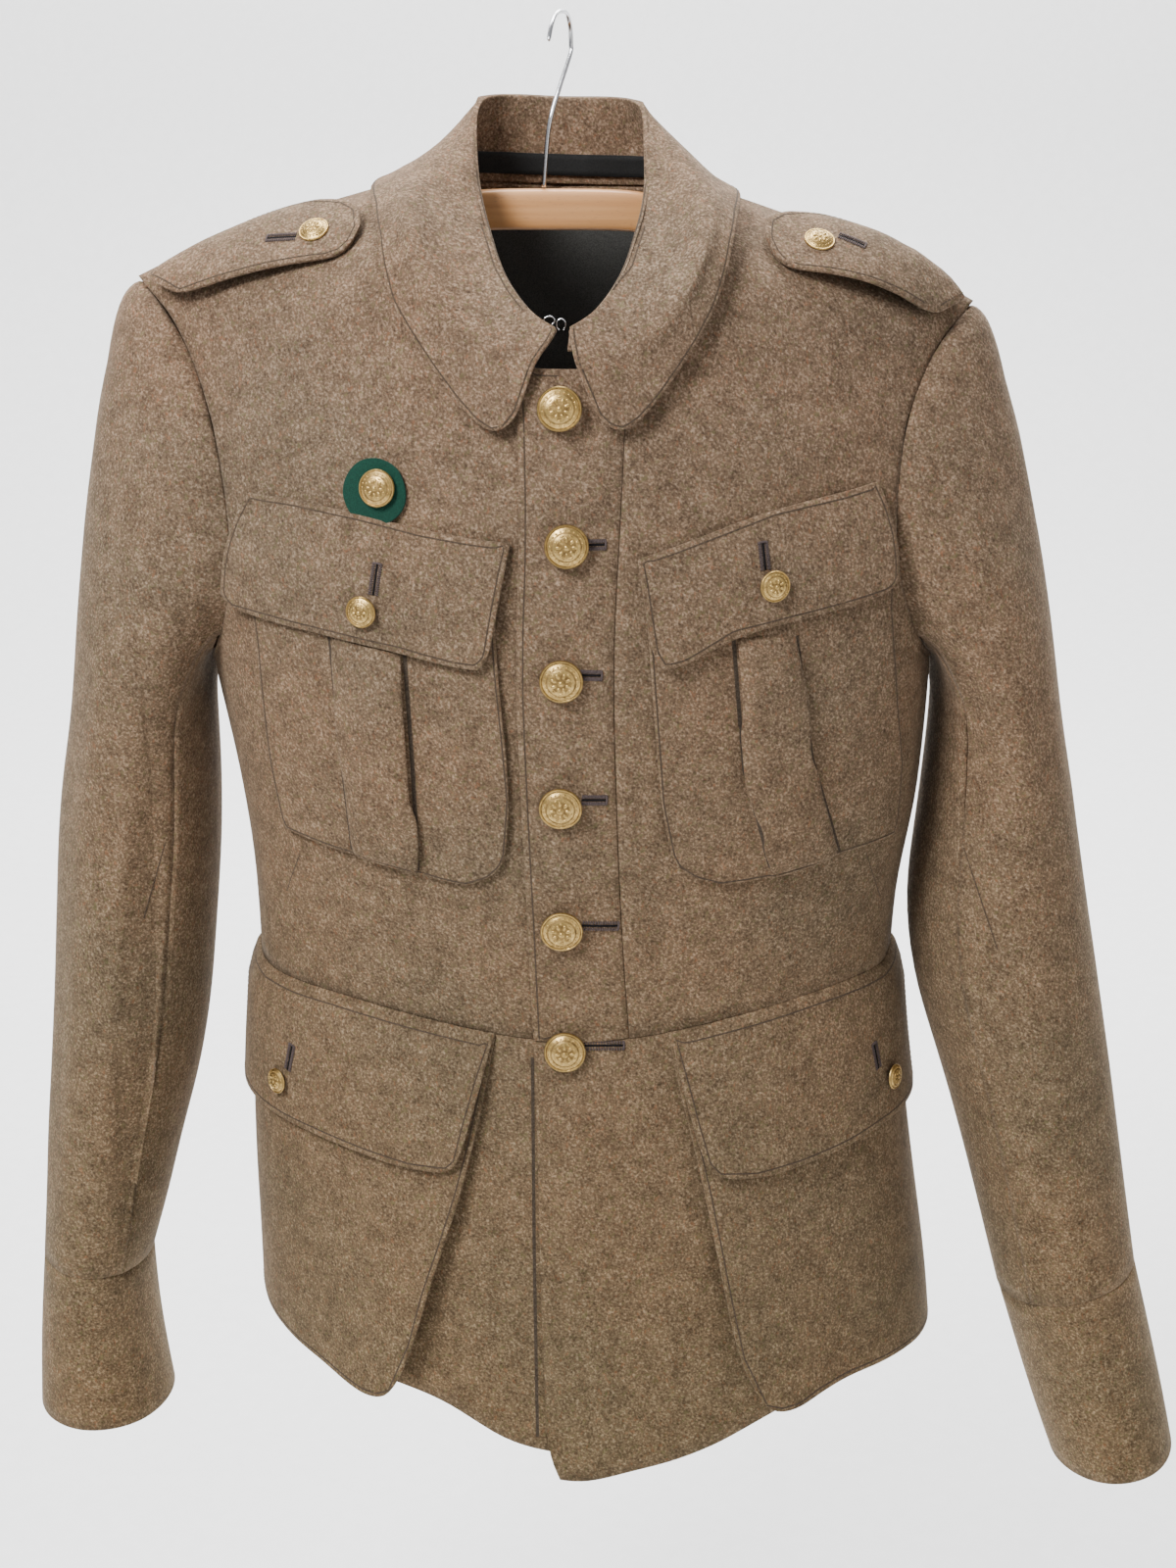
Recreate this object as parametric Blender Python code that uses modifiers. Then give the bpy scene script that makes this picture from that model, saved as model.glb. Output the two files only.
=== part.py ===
"""Wool military tunic with a stand and fall collar, hung on a wooden hanger.

Metres, +Z up. The wearer faces -Y, so the wearer's left is +X. The origin is the inner top of the hanger's hook.
Every cloth piece is a thin wall cut from one body surface or from one sleeve surface, and what lies on a panel is
made from the same surface, moved out.
"""

import math

import bmesh
import bpy
from mathutils import Vector

# Driving sizes
WALL = 0.0020            # felted wool
THIN = 0.0012            # lining and tape
SEAM = 0.0003            # gap at a seam
LYING = 0.0009           # air under a piece that lies on a panel
SIDE_SEAM = 100.0        # degrees round from the centre front
BUTTON_LARGE = 0.0225
BUTTON_SMALL = 0.0165
BUTTON_LOWER = 0.0144
BUTTON_STRAP = 0.0160
BADGE_DISC = 0.0280
BADGE_BUTTON = 0.0195
HOOK_WIRE = 0.0026
HOOK_RADIUS = 0.0150     # inside the bend
HOOK_SPREAD = 0.9        # how much wider the bend is at its tip
BAR_TOP = -0.0886
BAR_TALL = 0.0220
BAR_THICK = 0.0110
BAR_REACH = 0.1960
SHOULDER_TIP = (0.222, -0.141)   # half width and height of the shoulder point
SHOULDER_SLOPE = 0.384
SHOULDER_BULGE = 0.012           # how far the shoulder line stands out from straight
SHOULDER_TILT = 0.030            # how much lower the wearer's left shoulder hangs, over x

# The body's level sections, from the hem to the shoulder point.
# z, half_width, front, back, squareness, sway
BODY = [
    (-0.830, 0.203, 0.146, 0.104, 2.20, 0.018),
    (-0.738, 0.198, 0.138, 0.098, 2.20, 0.016),
    (-0.650, 0.192, 0.130, 0.092, 2.20, 0.009),
    (-0.580, 0.187, 0.123, 0.084, 2.15, 0.005),
    (-0.530, 0.184, 0.119, 0.080, 2.15, 0.005),
    (-0.480, 0.184, 0.119, 0.080, 2.15, 0.005),
    (-0.422, 0.193, 0.124, 0.087, 2.15, 0.006),
    (-0.363, 0.197, 0.127, 0.092, 2.10, 0.005),
    (-0.278, 0.208, 0.126, 0.092, 1.90, 0.001),
    (-0.213, 0.219, 0.121, 0.084, 1.60, -0.002),
    (-0.178, 0.223, 0.115, 0.076, 1.40, -0.003),
    (-0.141, 0.222, 0.107, 0.064, 1.30, -0.004),
]

# Above the shoulder point the half width follows the shoulder line.
# z, front, back, squareness, sway
SHOULDER = [
    (-0.141, 0.107, 0.064, 1.30, -0.004),
    (-0.118, 0.099, 0.056, 1.40, -0.003),
    (-0.100, 0.090, 0.050, 1.55, -0.002),
    (-0.084, 0.079, 0.044, 1.70, -0.002),
    (-0.070, 0.068, 0.038, 1.80, -0.002),
]

# How much narrower the wearer's right half hangs
# z, amount
RIGHT_TRIM = [
    (-0.830, 0.003), (-0.738, 0.003), (-0.650, 0.003), (-0.580, 0.002), (-0.530, 0.002), (-0.480, 0.003),
    (-0.455, 0.0045), (-0.415, 0.0065), (-0.378, 0.0025), (-0.350, 0.000), (-0.141, 0.000),
]

# Soft folds of the hanging cloth: a place, a lean from upright, sizes along and across, and a height
# angle, z, lean, half_length, half_width, height
FOLDS = [
    (-78.0, -0.470, 20.0, 0.060, 0.012, -0.0030),
    (-50.0, -0.480, 60.0, 0.050, 0.011, -0.0022),
    (74.0, -0.470, -22.0, 0.065, 0.012, -0.0032),
    (48.0, -0.492, -55.0, 0.050, 0.011, -0.0022),
    (77.0, -0.360, 6.0, 0.060, 0.012, -0.0024),
    (-40.0, -0.200, 35.0, 0.045, 0.014, -0.0020),
    (42.0, -0.205, -35.0, 0.045, 0.014, -0.0020),
    (150.0, -0.300, 12.0, 0.100, 0.018, -0.0040),
    (-152.0, -0.310, -12.0, 0.100, 0.018, -0.0040),
    (122.0, -0.480, 40.0, 0.060, 0.014, -0.0030),
    (-124.0, -0.470, -40.0, 0.060, 0.014, -0.0030),
    (165.0, -0.640, 4.0, 0.110, 0.022, 0.0045),
    (-160.0, -0.650, -4.0, 0.110, 0.022, 0.0045),
    (130.0, -0.660, 5.0, 0.100, 0.020, -0.0040),
    (-128.0, -0.660, -5.0, 0.100, 0.020, -0.0040),
]

# Seam and hem lines: angle from the centre front, z
WAIST = [(0.0, -0.5268), (13.0, -0.5240), (27.0, -0.5175), (45.0, -0.5120), (68.0, -0.5140), (180.0, -0.5140)]
ARMHOLE_FRONT = [
    (90.0, -0.1412), (77.5, -0.157), (69.0, -0.181), (62.5, -0.205), (59.0, -0.238), (58.5, -0.270),
    (62.0, -0.300), (72.0, -0.328), (86.0, -0.342), (100.0, -0.345),
]
ARMHOLE_BACK = [
    (90.0, -0.1412), (104.0, -0.163), (112.0, -0.188), (118.0, -0.220), (121.0, -0.255), (119.0, -0.290),
    (114.0, -0.318), (107.0, -0.338), (100.0, -0.345),
]
HEM_RIGHT = [
    (0.0, -0.7720), (9.0, -0.7695), (17.0, -0.7615), (25.0, -0.7435), (45.0, -0.7350), (70.0, -0.7290),
    (100.0, -0.7220),
]
HEM_LEFT = [
    (-8.5, -0.7640), (-7.5, -0.7810), (-2.8, -0.7870), (5.0, -0.7815), (14.5, -0.7740), (22.0, -0.7655),
    (32.0, -0.7510), (60.0, -0.7420), (100.0, -0.7500),
]
# The back's hem, all the way from the wearer's left to the right
HEM_BACK = [(100.0, -0.7500), (140.0, -0.7480), (180.0, -0.7500), (220.0, -0.7480), (240.0, -0.7400), (260.0, -0.7240)]

# Placket: z, x of the free edge, x of the seam
PLACKET = [
    (-0.785, -0.0106, 0.0400), (-0.660, -0.0126, 0.0390), (-0.574, -0.0149, 0.0370), (-0.527, -0.0162, 0.0355),
    (-0.466, -0.0184, 0.0315), (-0.402, -0.0214, 0.0281), (-0.321, -0.0232, 0.0263), (-0.250, -0.0217, 0.0286),
    (-0.140, -0.0230, 0.0330),
]

# The neckline, from the centre front to the centre back, for a half
# angle, z
NECKLINE = [
    (1.6, -0.1540), (4.5, -0.1540), (8.0, -0.1530), (12.5, -0.1440), (18.0, -0.1300), (27.0, -0.1130),
    (45.0, -0.0955), (90.0, -0.0830), (142.0, -0.0900), (180.0, -0.0925),
]
NECK_POINT = 7           # the station of the shoulder seam
NECK_GAP = 0.0012


def read(rows, at):
    """A row of a table whose first column is sorted, read smoothly at a value of that column."""
    rows = sorted(rows)
    if at <= rows[0][0]:
        return rows[0][1:]
    if at >= rows[-1][0]:
        return rows[-1][1:]
    low = max(k for k in range(len(rows) - 1) if rows[k][0] <= at)
    before, here, there, after = (rows[min(max(k, 0), len(rows) - 1)] for k in range(low - 1, low + 3))
    span = there[0] - here[0]
    part = (at - here[0]) / span
    values = []
    for column in range(1, len(here)):
        leave = (there[column] - before[column]) / (there[0] - before[0]) * span
        arrive = (after[column] - here[column]) / (after[0] - here[0]) * span
        values.append(
            here[column] * (2 * part**3 - 3 * part**2 + 1) + leave * (part**3 - 2 * part**2 + part)
            + there[column] * (3 * part**2 - 2 * part**3) + arrive * (part**3 - part**2)
        )
    return tuple(values)


def follow(rows, part):
    """A point of a polyline of rows, read smoothly by its share of the row count."""
    return read([(k / (len(rows) - 1), *row) for k, row in enumerate(rows)], part)


def mix(low, high, part):
    return low + (high - low) * part


def ease(part):
    part = min(max(part, 0.0), 1.0)
    return part * part * (3 - 2 * part)


def spread(low, high, count):
    """Evenly spaced values, both ends among them."""
    return [mix(low, high, k / (count - 1)) for k in range(count)]


def section(z):
    """Half width, front, back, squareness and sway of the body at one height."""
    tip_width, tip_z = SHOULDER_TIP
    if z <= tip_z:
        return read(BODY, z)
    front, back, squareness, sway = read(SHOULDER, z)
    bulge = SHOULDER_BULGE * math.sin(math.pi * min(1.0, (z - tip_z) / 0.056))
    return tip_width - (z - tip_z) / SHOULDER_SLOPE + bulge, front, back, squareness, sway


def half_of(z, side):
    """Half width of one side's half at one height."""
    trim = read(RIGHT_TRIM, z)[0] if side < 0 else 0.0
    return section(z)[0] - trim


def tilt(x, z):
    """How far the tilt of the shoulders moves a point up."""
    return -SHOULDER_TILT * x * ease((z + 0.22) / 0.07)


def turned(angle):
    """The same direction, from -180 to 180 degrees."""
    return (angle + 180.0) % 360.0 - 180.0


def fold_height(angle, z):
    """How far the soft folds move the cloth out at one place."""
    height = 0.0
    for fold_angle, fold_z, lean, half_length, half_width, tall in FOLDS:
        across = math.radians(turned(angle - fold_angle)) * 0.16
        up = z - fold_z
        tilt = math.radians(lean)
        along = up * math.cos(tilt) + across * math.sin(tilt)
        aside = across * math.cos(tilt) - up * math.sin(tilt)
        height += tall * math.exp(-((along / half_length) ** 2) - (aside / half_width) ** 2)
    return height


def body_plain(angle, z):
    """A point of the body's outer surface, without its folds."""
    _, front, back, squareness, sway = section(z)
    side = math.sin(math.radians(angle))
    ahead = math.cos(math.radians(angle))
    reach = (abs(side) ** squareness + abs(ahead) ** squareness) ** (-1 / squareness)
    deep = front if ahead > 0 else back
    x = sway + half_of(z, side) * reach * side
    return Vector((x, -deep * reach * ahead, z + tilt(x, z)))


def normal_of(surface, first, second, step_first, step_second):
    """The unit normal of a surface of two values, on the side of the cross product."""
    along_first = surface(first + step_first, second) - surface(first - step_first, second)
    along_second = surface(first, second + step_second) - surface(first, second - step_second)
    return along_first.cross(along_second).normalized()


def body(angle, z, lift=0.0):
    """A point on the body's surface, or moved out from it by lift."""
    out = normal_of(body_plain, angle, z, 0.6, 0.0015)
    return body_plain(angle, z) + out * (fold_height(angle, z) + lift)


def angle_at(x, z, side=1):
    """The angle at which the body's section at a height passes x, in front or behind."""
    _, _, _, squareness, sway = section(z)
    share = min(0.999, abs(x - sway) / half_of(z, x - sway))
    rest = (1 - share**squareness) ** (1 / squareness)
    angle = math.degrees(math.atan2(share, rest))
    if side < 0:
        angle = 180.0 - angle
    return math.copysign(angle, x - sway)


def beside(angle, z, distance):
    """The angle that lies a distance further round the body."""
    pace = (body_plain(angle + 0.5, z) - body_plain(angle - 0.5, z)).length
    return angle + distance / pace


def top_of(x, y, lift=0.0):
    """The point of the shoulders' upper surface over a place in plan."""
    low, high = -0.215, -0.062
    for _ in range(40):
        z = (low + high) / 2
        _, front, back, squareness, sway = section(z)
        deep = front if y < 0 else back
        full = (abs(x - sway) / half_of(z, x - sway)) ** squareness + (abs(y) / deep) ** squareness
        if full > 1:
            high = z
        else:
            low = z
    return Vector((x, y, low + tilt(x, low) + lift))


def finish(bm, name, material):
    """Turn the faces outwards, shade them smooth and link the piece."""
    bmesh.ops.recalc_face_normals(bm, faces=bm.faces)
    if bm.calc_volume(signed=True) < 0:
        bmesh.ops.reverse_faces(bm, faces=bm.faces)
    mesh = bpy.data.meshes.new(name)
    bm.to_mesh(mesh)
    bm.free()
    mesh.shade_smooth()
    mesh.set_sharp_from_angle(angle=math.radians(40))
    piece = bpy.data.objects.new(name, mesh)
    piece.data.materials.append(material)
    TUNIC.objects.link(piece)
    return piece


def cloth(name, place, across, along, material, wall=WALL, lift=0.0, ring=False):
    """A wall of cloth from a surface. place(u, v, lift) gives a point; the wall runs inwards from lift."""
    bm = bmesh.new()
    layers = [
        [[bm.verts.new(place(u, v, depth)) for u in across] for v in along]
        for depth in (lift, lift - wall)
    ]
    last_row = len(along) - 1
    last = len(across) - 1
    steps = range(len(across)) if ring else range(last)
    for layer in layers:
        for low, high in zip(layer, layer[1:]):
            for k in steps:
                after = (k + 1) % len(across)
                bm.faces.new((low[k], low[after], high[after], high[k]))
    outer, inner = layers
    for row in (0, last_row):
        for k in steps:
            after = (k + 1) % len(across)
            bm.faces.new((outer[row][k], outer[row][after], inner[row][after], inner[row][k]))
    if not ring:
        for column in (0, last):
            for row in range(last_row):
                bm.faces.new((outer[row][column], outer[row + 1][column], inner[row + 1][column], inner[row][column]))
    return finish(bm, name, material)


def paint(name, colour, roughness, metallic=0.0):
    material = bpy.data.materials.new(name)
    material.use_nodes = True
    shader = material.node_tree.nodes["Principled BSDF"]
    shader.inputs["Base Color"].default_value = (*colour, 1.0)
    shader.inputs["Roughness"].default_value = roughness
    shader.inputs["Metallic"].default_value = metallic
    return material


def between(rows, part):
    """A row of a table read in straight steps, by its share of the row count."""
    place = min(max(part, 0.0), 1.0) * (len(rows) - 1)
    low = min(int(place), len(rows) - 2)
    return tuple(mix(a, b, place - low) for a, b in zip(rows[low], rows[low + 1]))


def waist(angle):
    return read(WAIST, abs(turned(angle)))[0]


# The upper body

# Where the rows of an upper front start and end: the armhole side, then a height on the front edge or, where
# that is 0, a station of the neckline
# outer_angle, outer_z, inner_z, station
FRONT_ROWS = [
    (100.0, -0.5140, -0.5268, 0), (100.0, -0.4700, -0.4800, 0), (100.0, -0.4250, -0.4300, 0),
    (100.0, -0.3850, -0.3850, 0), (100.0, -0.3458, -0.3400, 0), (86.0, -0.3420, -0.3050, 0),
    (72.0, -0.3280, -0.2750, 0), (62.0, -0.3000, -0.2450, 0), (58.5, -0.2700, -0.2150, 0),
    (59.0, -0.2380, -0.1850, 0), (62.5, -0.2050, 0, 0.6), (64.6, -0.1972, 0, 2.0), (67.0, -0.1884, 0, 3.0),
    (71.5, -0.1739, 0, 3.8), (77.5, -0.1570, 0, 4.6), (84.0, -0.1480, 0, 5.7), (89.8, -0.1412, 0, NECK_POINT),
]

# The same for half of the back, whose inner edge is the centre back seam
# outer_angle, outer_z, inner_z, station
BACK_ROWS = [
    (100.0, -0.5140, -0.5140, 0), (100.0, -0.4700, -0.4700, 0), (100.0, -0.4200, -0.4200, 0),
    (100.0, -0.3800, -0.3700, 0), (100.0, -0.3458, -0.3200, 0), (107.0, -0.3380, -0.2900, 0),
    (114.0, -0.3180, -0.2600, 0), (119.0, -0.2900, -0.2300, 0), (121.0, -0.2550, -0.2000, 0),
    (118.0, -0.2200, -0.1650, 0), (112.0, -0.1880, -0.1350, 0), (106.0, -0.1690, -0.1100, 0),
    (102.0, -0.1590, 0, 9.0), (97.0, -0.1500, 0, 8.3), (93.0, -0.1450, 0, 7.7), (90.2, -0.1412, 0, NECK_POINT),
]
UNDERLAP = -0.004        # how far the right front runs under the placket
PLACKET_TOP = -0.1620
WAIST_GAP = 0.00025      # half of the gap at the waist seam
OVERLAP_LIFT = LYING + WALL


def placket_x(z):
    """x of the placket's free edge and of its seam at one height."""
    return read(PLACKET, z)


def overlap_rise(share):
    """How far the placket's cloth stands over the front under it, across its width."""
    return OVERLAP_LIFT * (1 - ease((share - 0.56) / 0.44))


def inner_place(row, edge_angle):
    """Angle and z of the inner end of a panel's row: on the neckline, or on its own edge."""
    _, _, inner_z, station = row
    if station == 0:
        return edge_angle(inner_z), inner_z
    angle, z = follow(NECKLINE, station / (len(NECKLINE) - 1))
    return max(angle, edge_angle(z)), z - NECK_GAP


def panel_place(rows, part, u, edge_angle):
    """Angle and z of a point of an upper panel, between its inner and its outer edge."""
    place = min(max(part, 0.0), 1.0) * (len(rows) - 1)
    low = min(int(place), len(rows) - 2)
    found = []
    for row in rows[low:low + 2]:
        inner_angle, inner_z = inner_place(row, edge_angle)
        found.append((mix(inner_angle, row[0], u), mix(inner_z, row[1], u)))
    (low_angle, low_z), (high_angle, high_z) = found
    return mix(low_angle, high_angle, place - low), mix(low_z, high_z, place - low)


def front_upper(side):
    """One upper front; side is 1 for the wearer's left."""

    def edge_angle(z):
        if side > 0:
            return angle_at(placket_x(z)[1] + SEAM / 2, z)
        return -angle_at(-UNDERLAP, z)

    def place(u, v, lift):
        angle, z = panel_place(FRONT_ROWS, v, u, edge_angle)
        if v < 0.002:
            z = waist(angle) + WAIST_GAP
        if v > 0.999:
            angle = beside(90.0, z, -SEAM)
        elif u > 0.999:
            angle = beside(angle, z, -SEAM / 2)
        return body(side * angle, z, lift)

    return place


def back_upper(side):
    def edge_angle(z):
        return beside(180.0, z, -SEAM / 2)

    def place(u, v, lift):
        angle, z = panel_place(BACK_ROWS, v, u, lambda height: 0.0 if v > 0.81 else edge_angle(height))
        if v < 0.002:
            z = waist(angle) + WAIST_GAP
        if v > 0.999:
            angle = beside(90.0, z, SEAM)
        elif u > 0.999:
            angle = beside(angle, z, SEAM / 2)
        return body(side * angle, z, lift)

    return place


def placket(u, v, lift):
    z = mix(-0.5268 + SEAM / 2, PLACKET_TOP, v)
    edge, seam = placket_x(z)
    angle = angle_at(mix(edge, seam - SEAM / 2, u), z)
    if v == 0:
        z = waist(angle) + WAIST_GAP
    return body(angle, z, lift + overlap_rise(u))


# The skirt

def skirt_front_right(u, v, lift):
    start = angle_at(UNDERLAP, -0.6)
    angle = mix(start, -SIDE_SEAM + 0.05, u)
    z = mix(waist(angle) - WAIST_GAP, read(HEM_RIGHT, abs(angle))[0], v)
    return body(angle, z, lift)


def skirt_front_left(u, v, lift):
    top_angle = mix(angle_at(placket_x(-0.527)[0], -0.527), SIDE_SEAM - 0.05, u)
    top_z = waist(top_angle) - WAIST_GAP
    hem_angle = mix(-8.3, SIDE_SEAM, u)
    z = mix(top_z, read(HEM_LEFT, hem_angle)[0], v)
    edge, seam = placket_x(z)
    angle = mix(angle_at(edge, z), SIDE_SEAM - 0.05, u)
    share = (body_plain(angle, z).x - edge) / (seam - edge)
    return body(angle, z, lift + overlap_rise(share))


def skirt_back(u, v, lift):
    angle = mix(SIDE_SEAM + 0.05, 360 - SIDE_SEAM - 0.05, u)
    z = mix(waist(angle) - WAIST_GAP, read(HEM_BACK, angle)[0], v)
    return body(angle, z, lift)


# Panels that hang from the waist seam, over the skirt, with a free front edge
# z, front_angle
LOWER_FRONT = {
    -1: [(-0.745, 33.5), (-0.722, 29.7), (-0.684, 26.3), (-0.644, 22.1), (-0.593, 17.3), (-0.527, 13.2)],
    1: [(-0.756, 29.0), (-0.731, 24.4), (-0.700, 23.0), (-0.652, 22.0), (-0.594, 20.1), (-0.529, 15.9)],
}
LOWER_HEM = {
    -1: [(33.0, -0.7370), (35.5, -0.7430), (45.0, -0.7410), (60.0, -0.7365), (80.0, -0.7310), (100.0, -0.7260)],
    1: [(27.0, -0.7430), (30.0, -0.7490), (38.0, -0.7445), (50.0, -0.7440), (75.0, -0.7515), (100.0, -0.7620)],
}
LOWER_LIFT = LYING + WALL + 0.0005
PROUD = 0.013            # how far the free front edge stands off at the hem
SIDE_END = 97.0


def lower_proud(u, v):
    return PROUD * v**1.3 * (1 - ease(u / 0.30))


def lower_pocket(side):
    def place(u, v, lift):
        hem_start = LOWER_HEM[side][0][0]
        hem_angle = mix(hem_start, SIDE_END, u)
        top_z = waist(mix(14.5, SIDE_END, u)) - 0.0008
        z = mix(top_z, read(LOWER_HEM[side], hem_angle)[0], v)
        front = read(LOWER_FRONT[side], z)[0]
        angle = side * mix(front, SIDE_END, u)
        return body(angle, z, lift + LOWER_LIFT + lower_proud(u, v))

    return place


# top_front, top_end, bottom_front, bottom_end angles, and the lower edge: share from the front, z
LOWER_FLAP = {
    -1: (13.4, 92.0, 19.0, 92.0, [(0.0, -0.5960), (0.03, -0.6020), (0.12, -0.6025), (0.40, -0.5955), (1.0, -0.5950)]),
    1: (
        16.1, 92.0, 21.0, 92.0,
        [(0.0, -0.5980), (0.03, -0.6060), (0.10, -0.6090), (0.30, -0.6070), (0.55, -0.6020), (1.0, -0.6060)],
    ),
}


def lower_flap(side):
    def place(u, v, lift):
        top_front, top_end, bottom_front, bottom_end, edge = LOWER_FLAP[side]
        angle = mix(mix(top_front, bottom_front, v), mix(top_end, bottom_end, v), u)
        top_z = waist(angle) - 0.0016
        z = mix(top_z, read(edge, u)[0], v)
        share = (angle - read(LOWER_FRONT[side], z)[0]) / (SIDE_END - read(LOWER_FRONT[side], z)[0])
        depth = (waist(angle) - z) / (waist(angle) + 0.745)
        off = LOWER_LIFT + LYING + WALL + 0.0006 + 0.0022 * v + lower_proud(max(share, 0.0), depth)
        return body(side * angle, z, lift + off)

    return place


# Chest pockets: the outline from the top to the corners, then the pleat's two folds
# z, inner_angle, outer_angle, pleat_inner, pleat_outer
UPPER_POCKET = {
    -1: [
        (-0.2690, 9.5, 54.0, 24.0, 35.0), (-0.3060, 10.0, 53.0, 24.6, 35.6), (-0.3600, 9.9, 54.5, 25.9, 37.0),
        (-0.4050, 10.2, 55.5, 26.0, 37.0), (-0.4290, 12.5, 52.5, 26.0, 36.9),
    ],
    1: [
        (-0.2750, 11.4, 56.5, 25.4, 34.0), (-0.2980, 11.8, 56.5, 25.8, 34.6), (-0.3570, 12.6, 60.0, 26.3, 37.5),
        (-0.4080, 14.0, 64.0, 28.2, 41.0), (-0.4330, 17.5, 61.0, 32.1, 44.5),
    ],
}
# The pocket's lower edge: share from the inner edge, z
UPPER_POCKET_FOOT = {
    -1: [(0.0, -0.4230), (0.06, -0.4330), (0.14, -0.4350), (0.35, -0.4300), (0.70, -0.4240), (1.0, -0.4190)],
    1: [(0.0, -0.4240), (0.07, -0.4350), (0.15, -0.4360), (0.40, -0.4340), (0.70, -0.4285), (1.0, -0.4280)],
}
PLEAT_TALL = 0.0030
POCKET_AIR = 0.0003
# Stations across a chest pocket: which piece of the width, share of it
POCKET_ACROSS = (
    [(0, s) for s in (0.0, 0.12, 0.4, 0.7, 0.92)]
    + [(1, s) for s in (0.0, 0.05, 0.5, 0.95, 1.0)]
    + [(2, s) for s in (0.08, 0.35, 0.7, 1.0)]
)


def upper_pocket(side):
    def place(u, v, lift):
        part, share = u
        top_z = UPPER_POCKET[side][0][0]
        foot_share = (part + share) / 3
        z = mix(top_z, read(UPPER_POCKET_FOOT[side], foot_share)[0], v)
        inner, outer, fold_in, fold_out = read(UPPER_POCKET[side], z)
        marks = (inner, fold_in, fold_out, outer)
        angle = mix(marks[part], marks[part + 1], share)
        tall = 0.0
        if part == 1:
            tall = PLEAT_TALL * ease(v / 0.28) * ease((1.06 - v) / 0.12)
            if share in (0.0, 1.0):
                tall = 0.0
        dip = -0.0004 if (part, share) in ((0, 0.92), (2, 0.08)) else 0.0
        return body(side * angle, z, lift + LYING + WALL + POCKET_AIR + tall + dip)

    return place


# Chest flaps: share across from the inner end, top angle, top z, lower angle, lower z
UPPER_FLAP = {
    -1: [
        (0.00, 6.9, -0.2481, 10.8, -0.3060), (0.05, 9.0, -0.2478, 12.6, -0.3128), (0.12, 12.5, -0.2466, 16.0, -0.3120),
        (0.30, 20.0, -0.2435, 24.5, -0.3060), (0.50, 30.0, -0.2380, 34.0, -0.3022), (0.75, 42.0, -0.2345, 47.0, -0.2985),
        (0.95, 50.3, -0.2345, 57.0, -0.2968), (1.00, 52.3, -0.2348, 59.3, -0.2900),
    ],
    1: [
        (0.00, 10.3, -0.2564, 12.0, -0.3040), (0.05, 12.4, -0.2545, 13.6, -0.3128), (0.12, 15.4, -0.2515, 17.0, -0.3110),
        (0.30, 23.0, -0.2438, 24.5, -0.2978), (0.50, 32.0, -0.2360, 33.0, -0.2940), (0.75, 45.0, -0.2325, 44.0, -0.2905),
        (0.95, 51.8, -0.2303, 53.5, -0.2872), (1.00, 53.6, -0.2297, 56.0, -0.2820),
    ],
}
FLAP_LIFT = 0.0056       # how far the lower edge's inner face stands off the front


def upper_flap(side):
    def place(u, v, lift):
        top_angle, top_z, low_angle, low_z = read(UPPER_FLAP[side], u)
        bulge = 4 * v * (1 - v) * (1.2 if u > 0.97 else 0.0)
        angle = mix(top_angle, low_angle, v) + bulge
        z = mix(top_z, low_z, v)
        rise = FLAP_LIFT * (1 - (1 - v) ** 2)
        return body(side * angle, z, lift + LYING + WALL + rise)

    return place


# The sleeves: down the arm, from under the armhole to the cuff's end
# z, out, ahead, half_width, half_depth, turn
SLEEVE = {
    -1: [
        (-0.370, 0.2345, 0.000, 0.0395, 0.071, 4.0), (-0.420, 0.2390, 0.001, 0.0445, 0.071, 5.0),
        (-0.457, 0.2418, -0.004, 0.0455, 0.070, 6.0), (-0.507, 0.2455, -0.012, 0.0450, 0.068, 7.0),
        (-0.570, 0.2520, -0.020, 0.0430, 0.065, 8.0), (-0.620, 0.2606, -0.027, 0.0380, 0.063, 7.0),
        (-0.660, 0.2670, -0.033, 0.0345, 0.060, 5.0), (-0.694, 0.2735, -0.038, 0.0310, 0.057, 3.0),
        (-0.738, 0.2745, -0.043, 0.0345, 0.055, 2.0), (-0.785, 0.2722, -0.048, 0.0395, 0.053, 0.0),
    ],
    1: [
        (-0.370, 0.2398, 0.000, 0.0352, 0.071, 4.0), (-0.420, 0.2435, 0.001, 0.0418, 0.071, 5.0),
        (-0.457, 0.2440, -0.004, 0.0466, 0.070, 6.0), (-0.500, 0.2458, -0.011, 0.0526, 0.069, 7.0),
        (-0.545, 0.2560, -0.017, 0.0505, 0.067, 7.0), (-0.590, 0.2675, -0.023, 0.0475, 0.065, 6.0),
        (-0.635, 0.2778, -0.030, 0.0447, 0.063, 5.0), (-0.676, 0.2862, -0.037, 0.0428, 0.060, 4.0),
        (-0.707, 0.2928, -0.041, 0.0412, 0.058, 3.0), (-0.760, 0.3080, -0.046, 0.0392, 0.056, 2.0),
        (-0.817, 0.3238, -0.052, 0.0360, 0.055, 0.0),
    ],
}
CUFF_SEAM = {-1: -0.694, 1: -0.707}
SLEEVE_END = {-1: -0.785, 1: -0.817}
HEAD_REACH = {-1: 0.36, 1: 0.28}   # how far the sleeve head stands out before it turns down
HEAD_SHARE = 0.34
# The long folds of the hanging sleeves: angle round the sleeve, half width in degrees, top z, foot z, height
SLEEVE_FOLDS = {
    -1: [(52.0, 9.0, -0.28, -0.70, -0.0045), (100.0, 10.0, -0.34, -0.62, 0.0040), (215.0, 12.0, -0.30, -0.68, -0.0040)],
    1: [(60.0, 9.0, -0.30, -0.66, -0.0040), (108.0, 10.0, -0.36, -0.60, 0.0035), (215.0, 12.0, -0.30, -0.68, -0.0040)],
}


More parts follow.
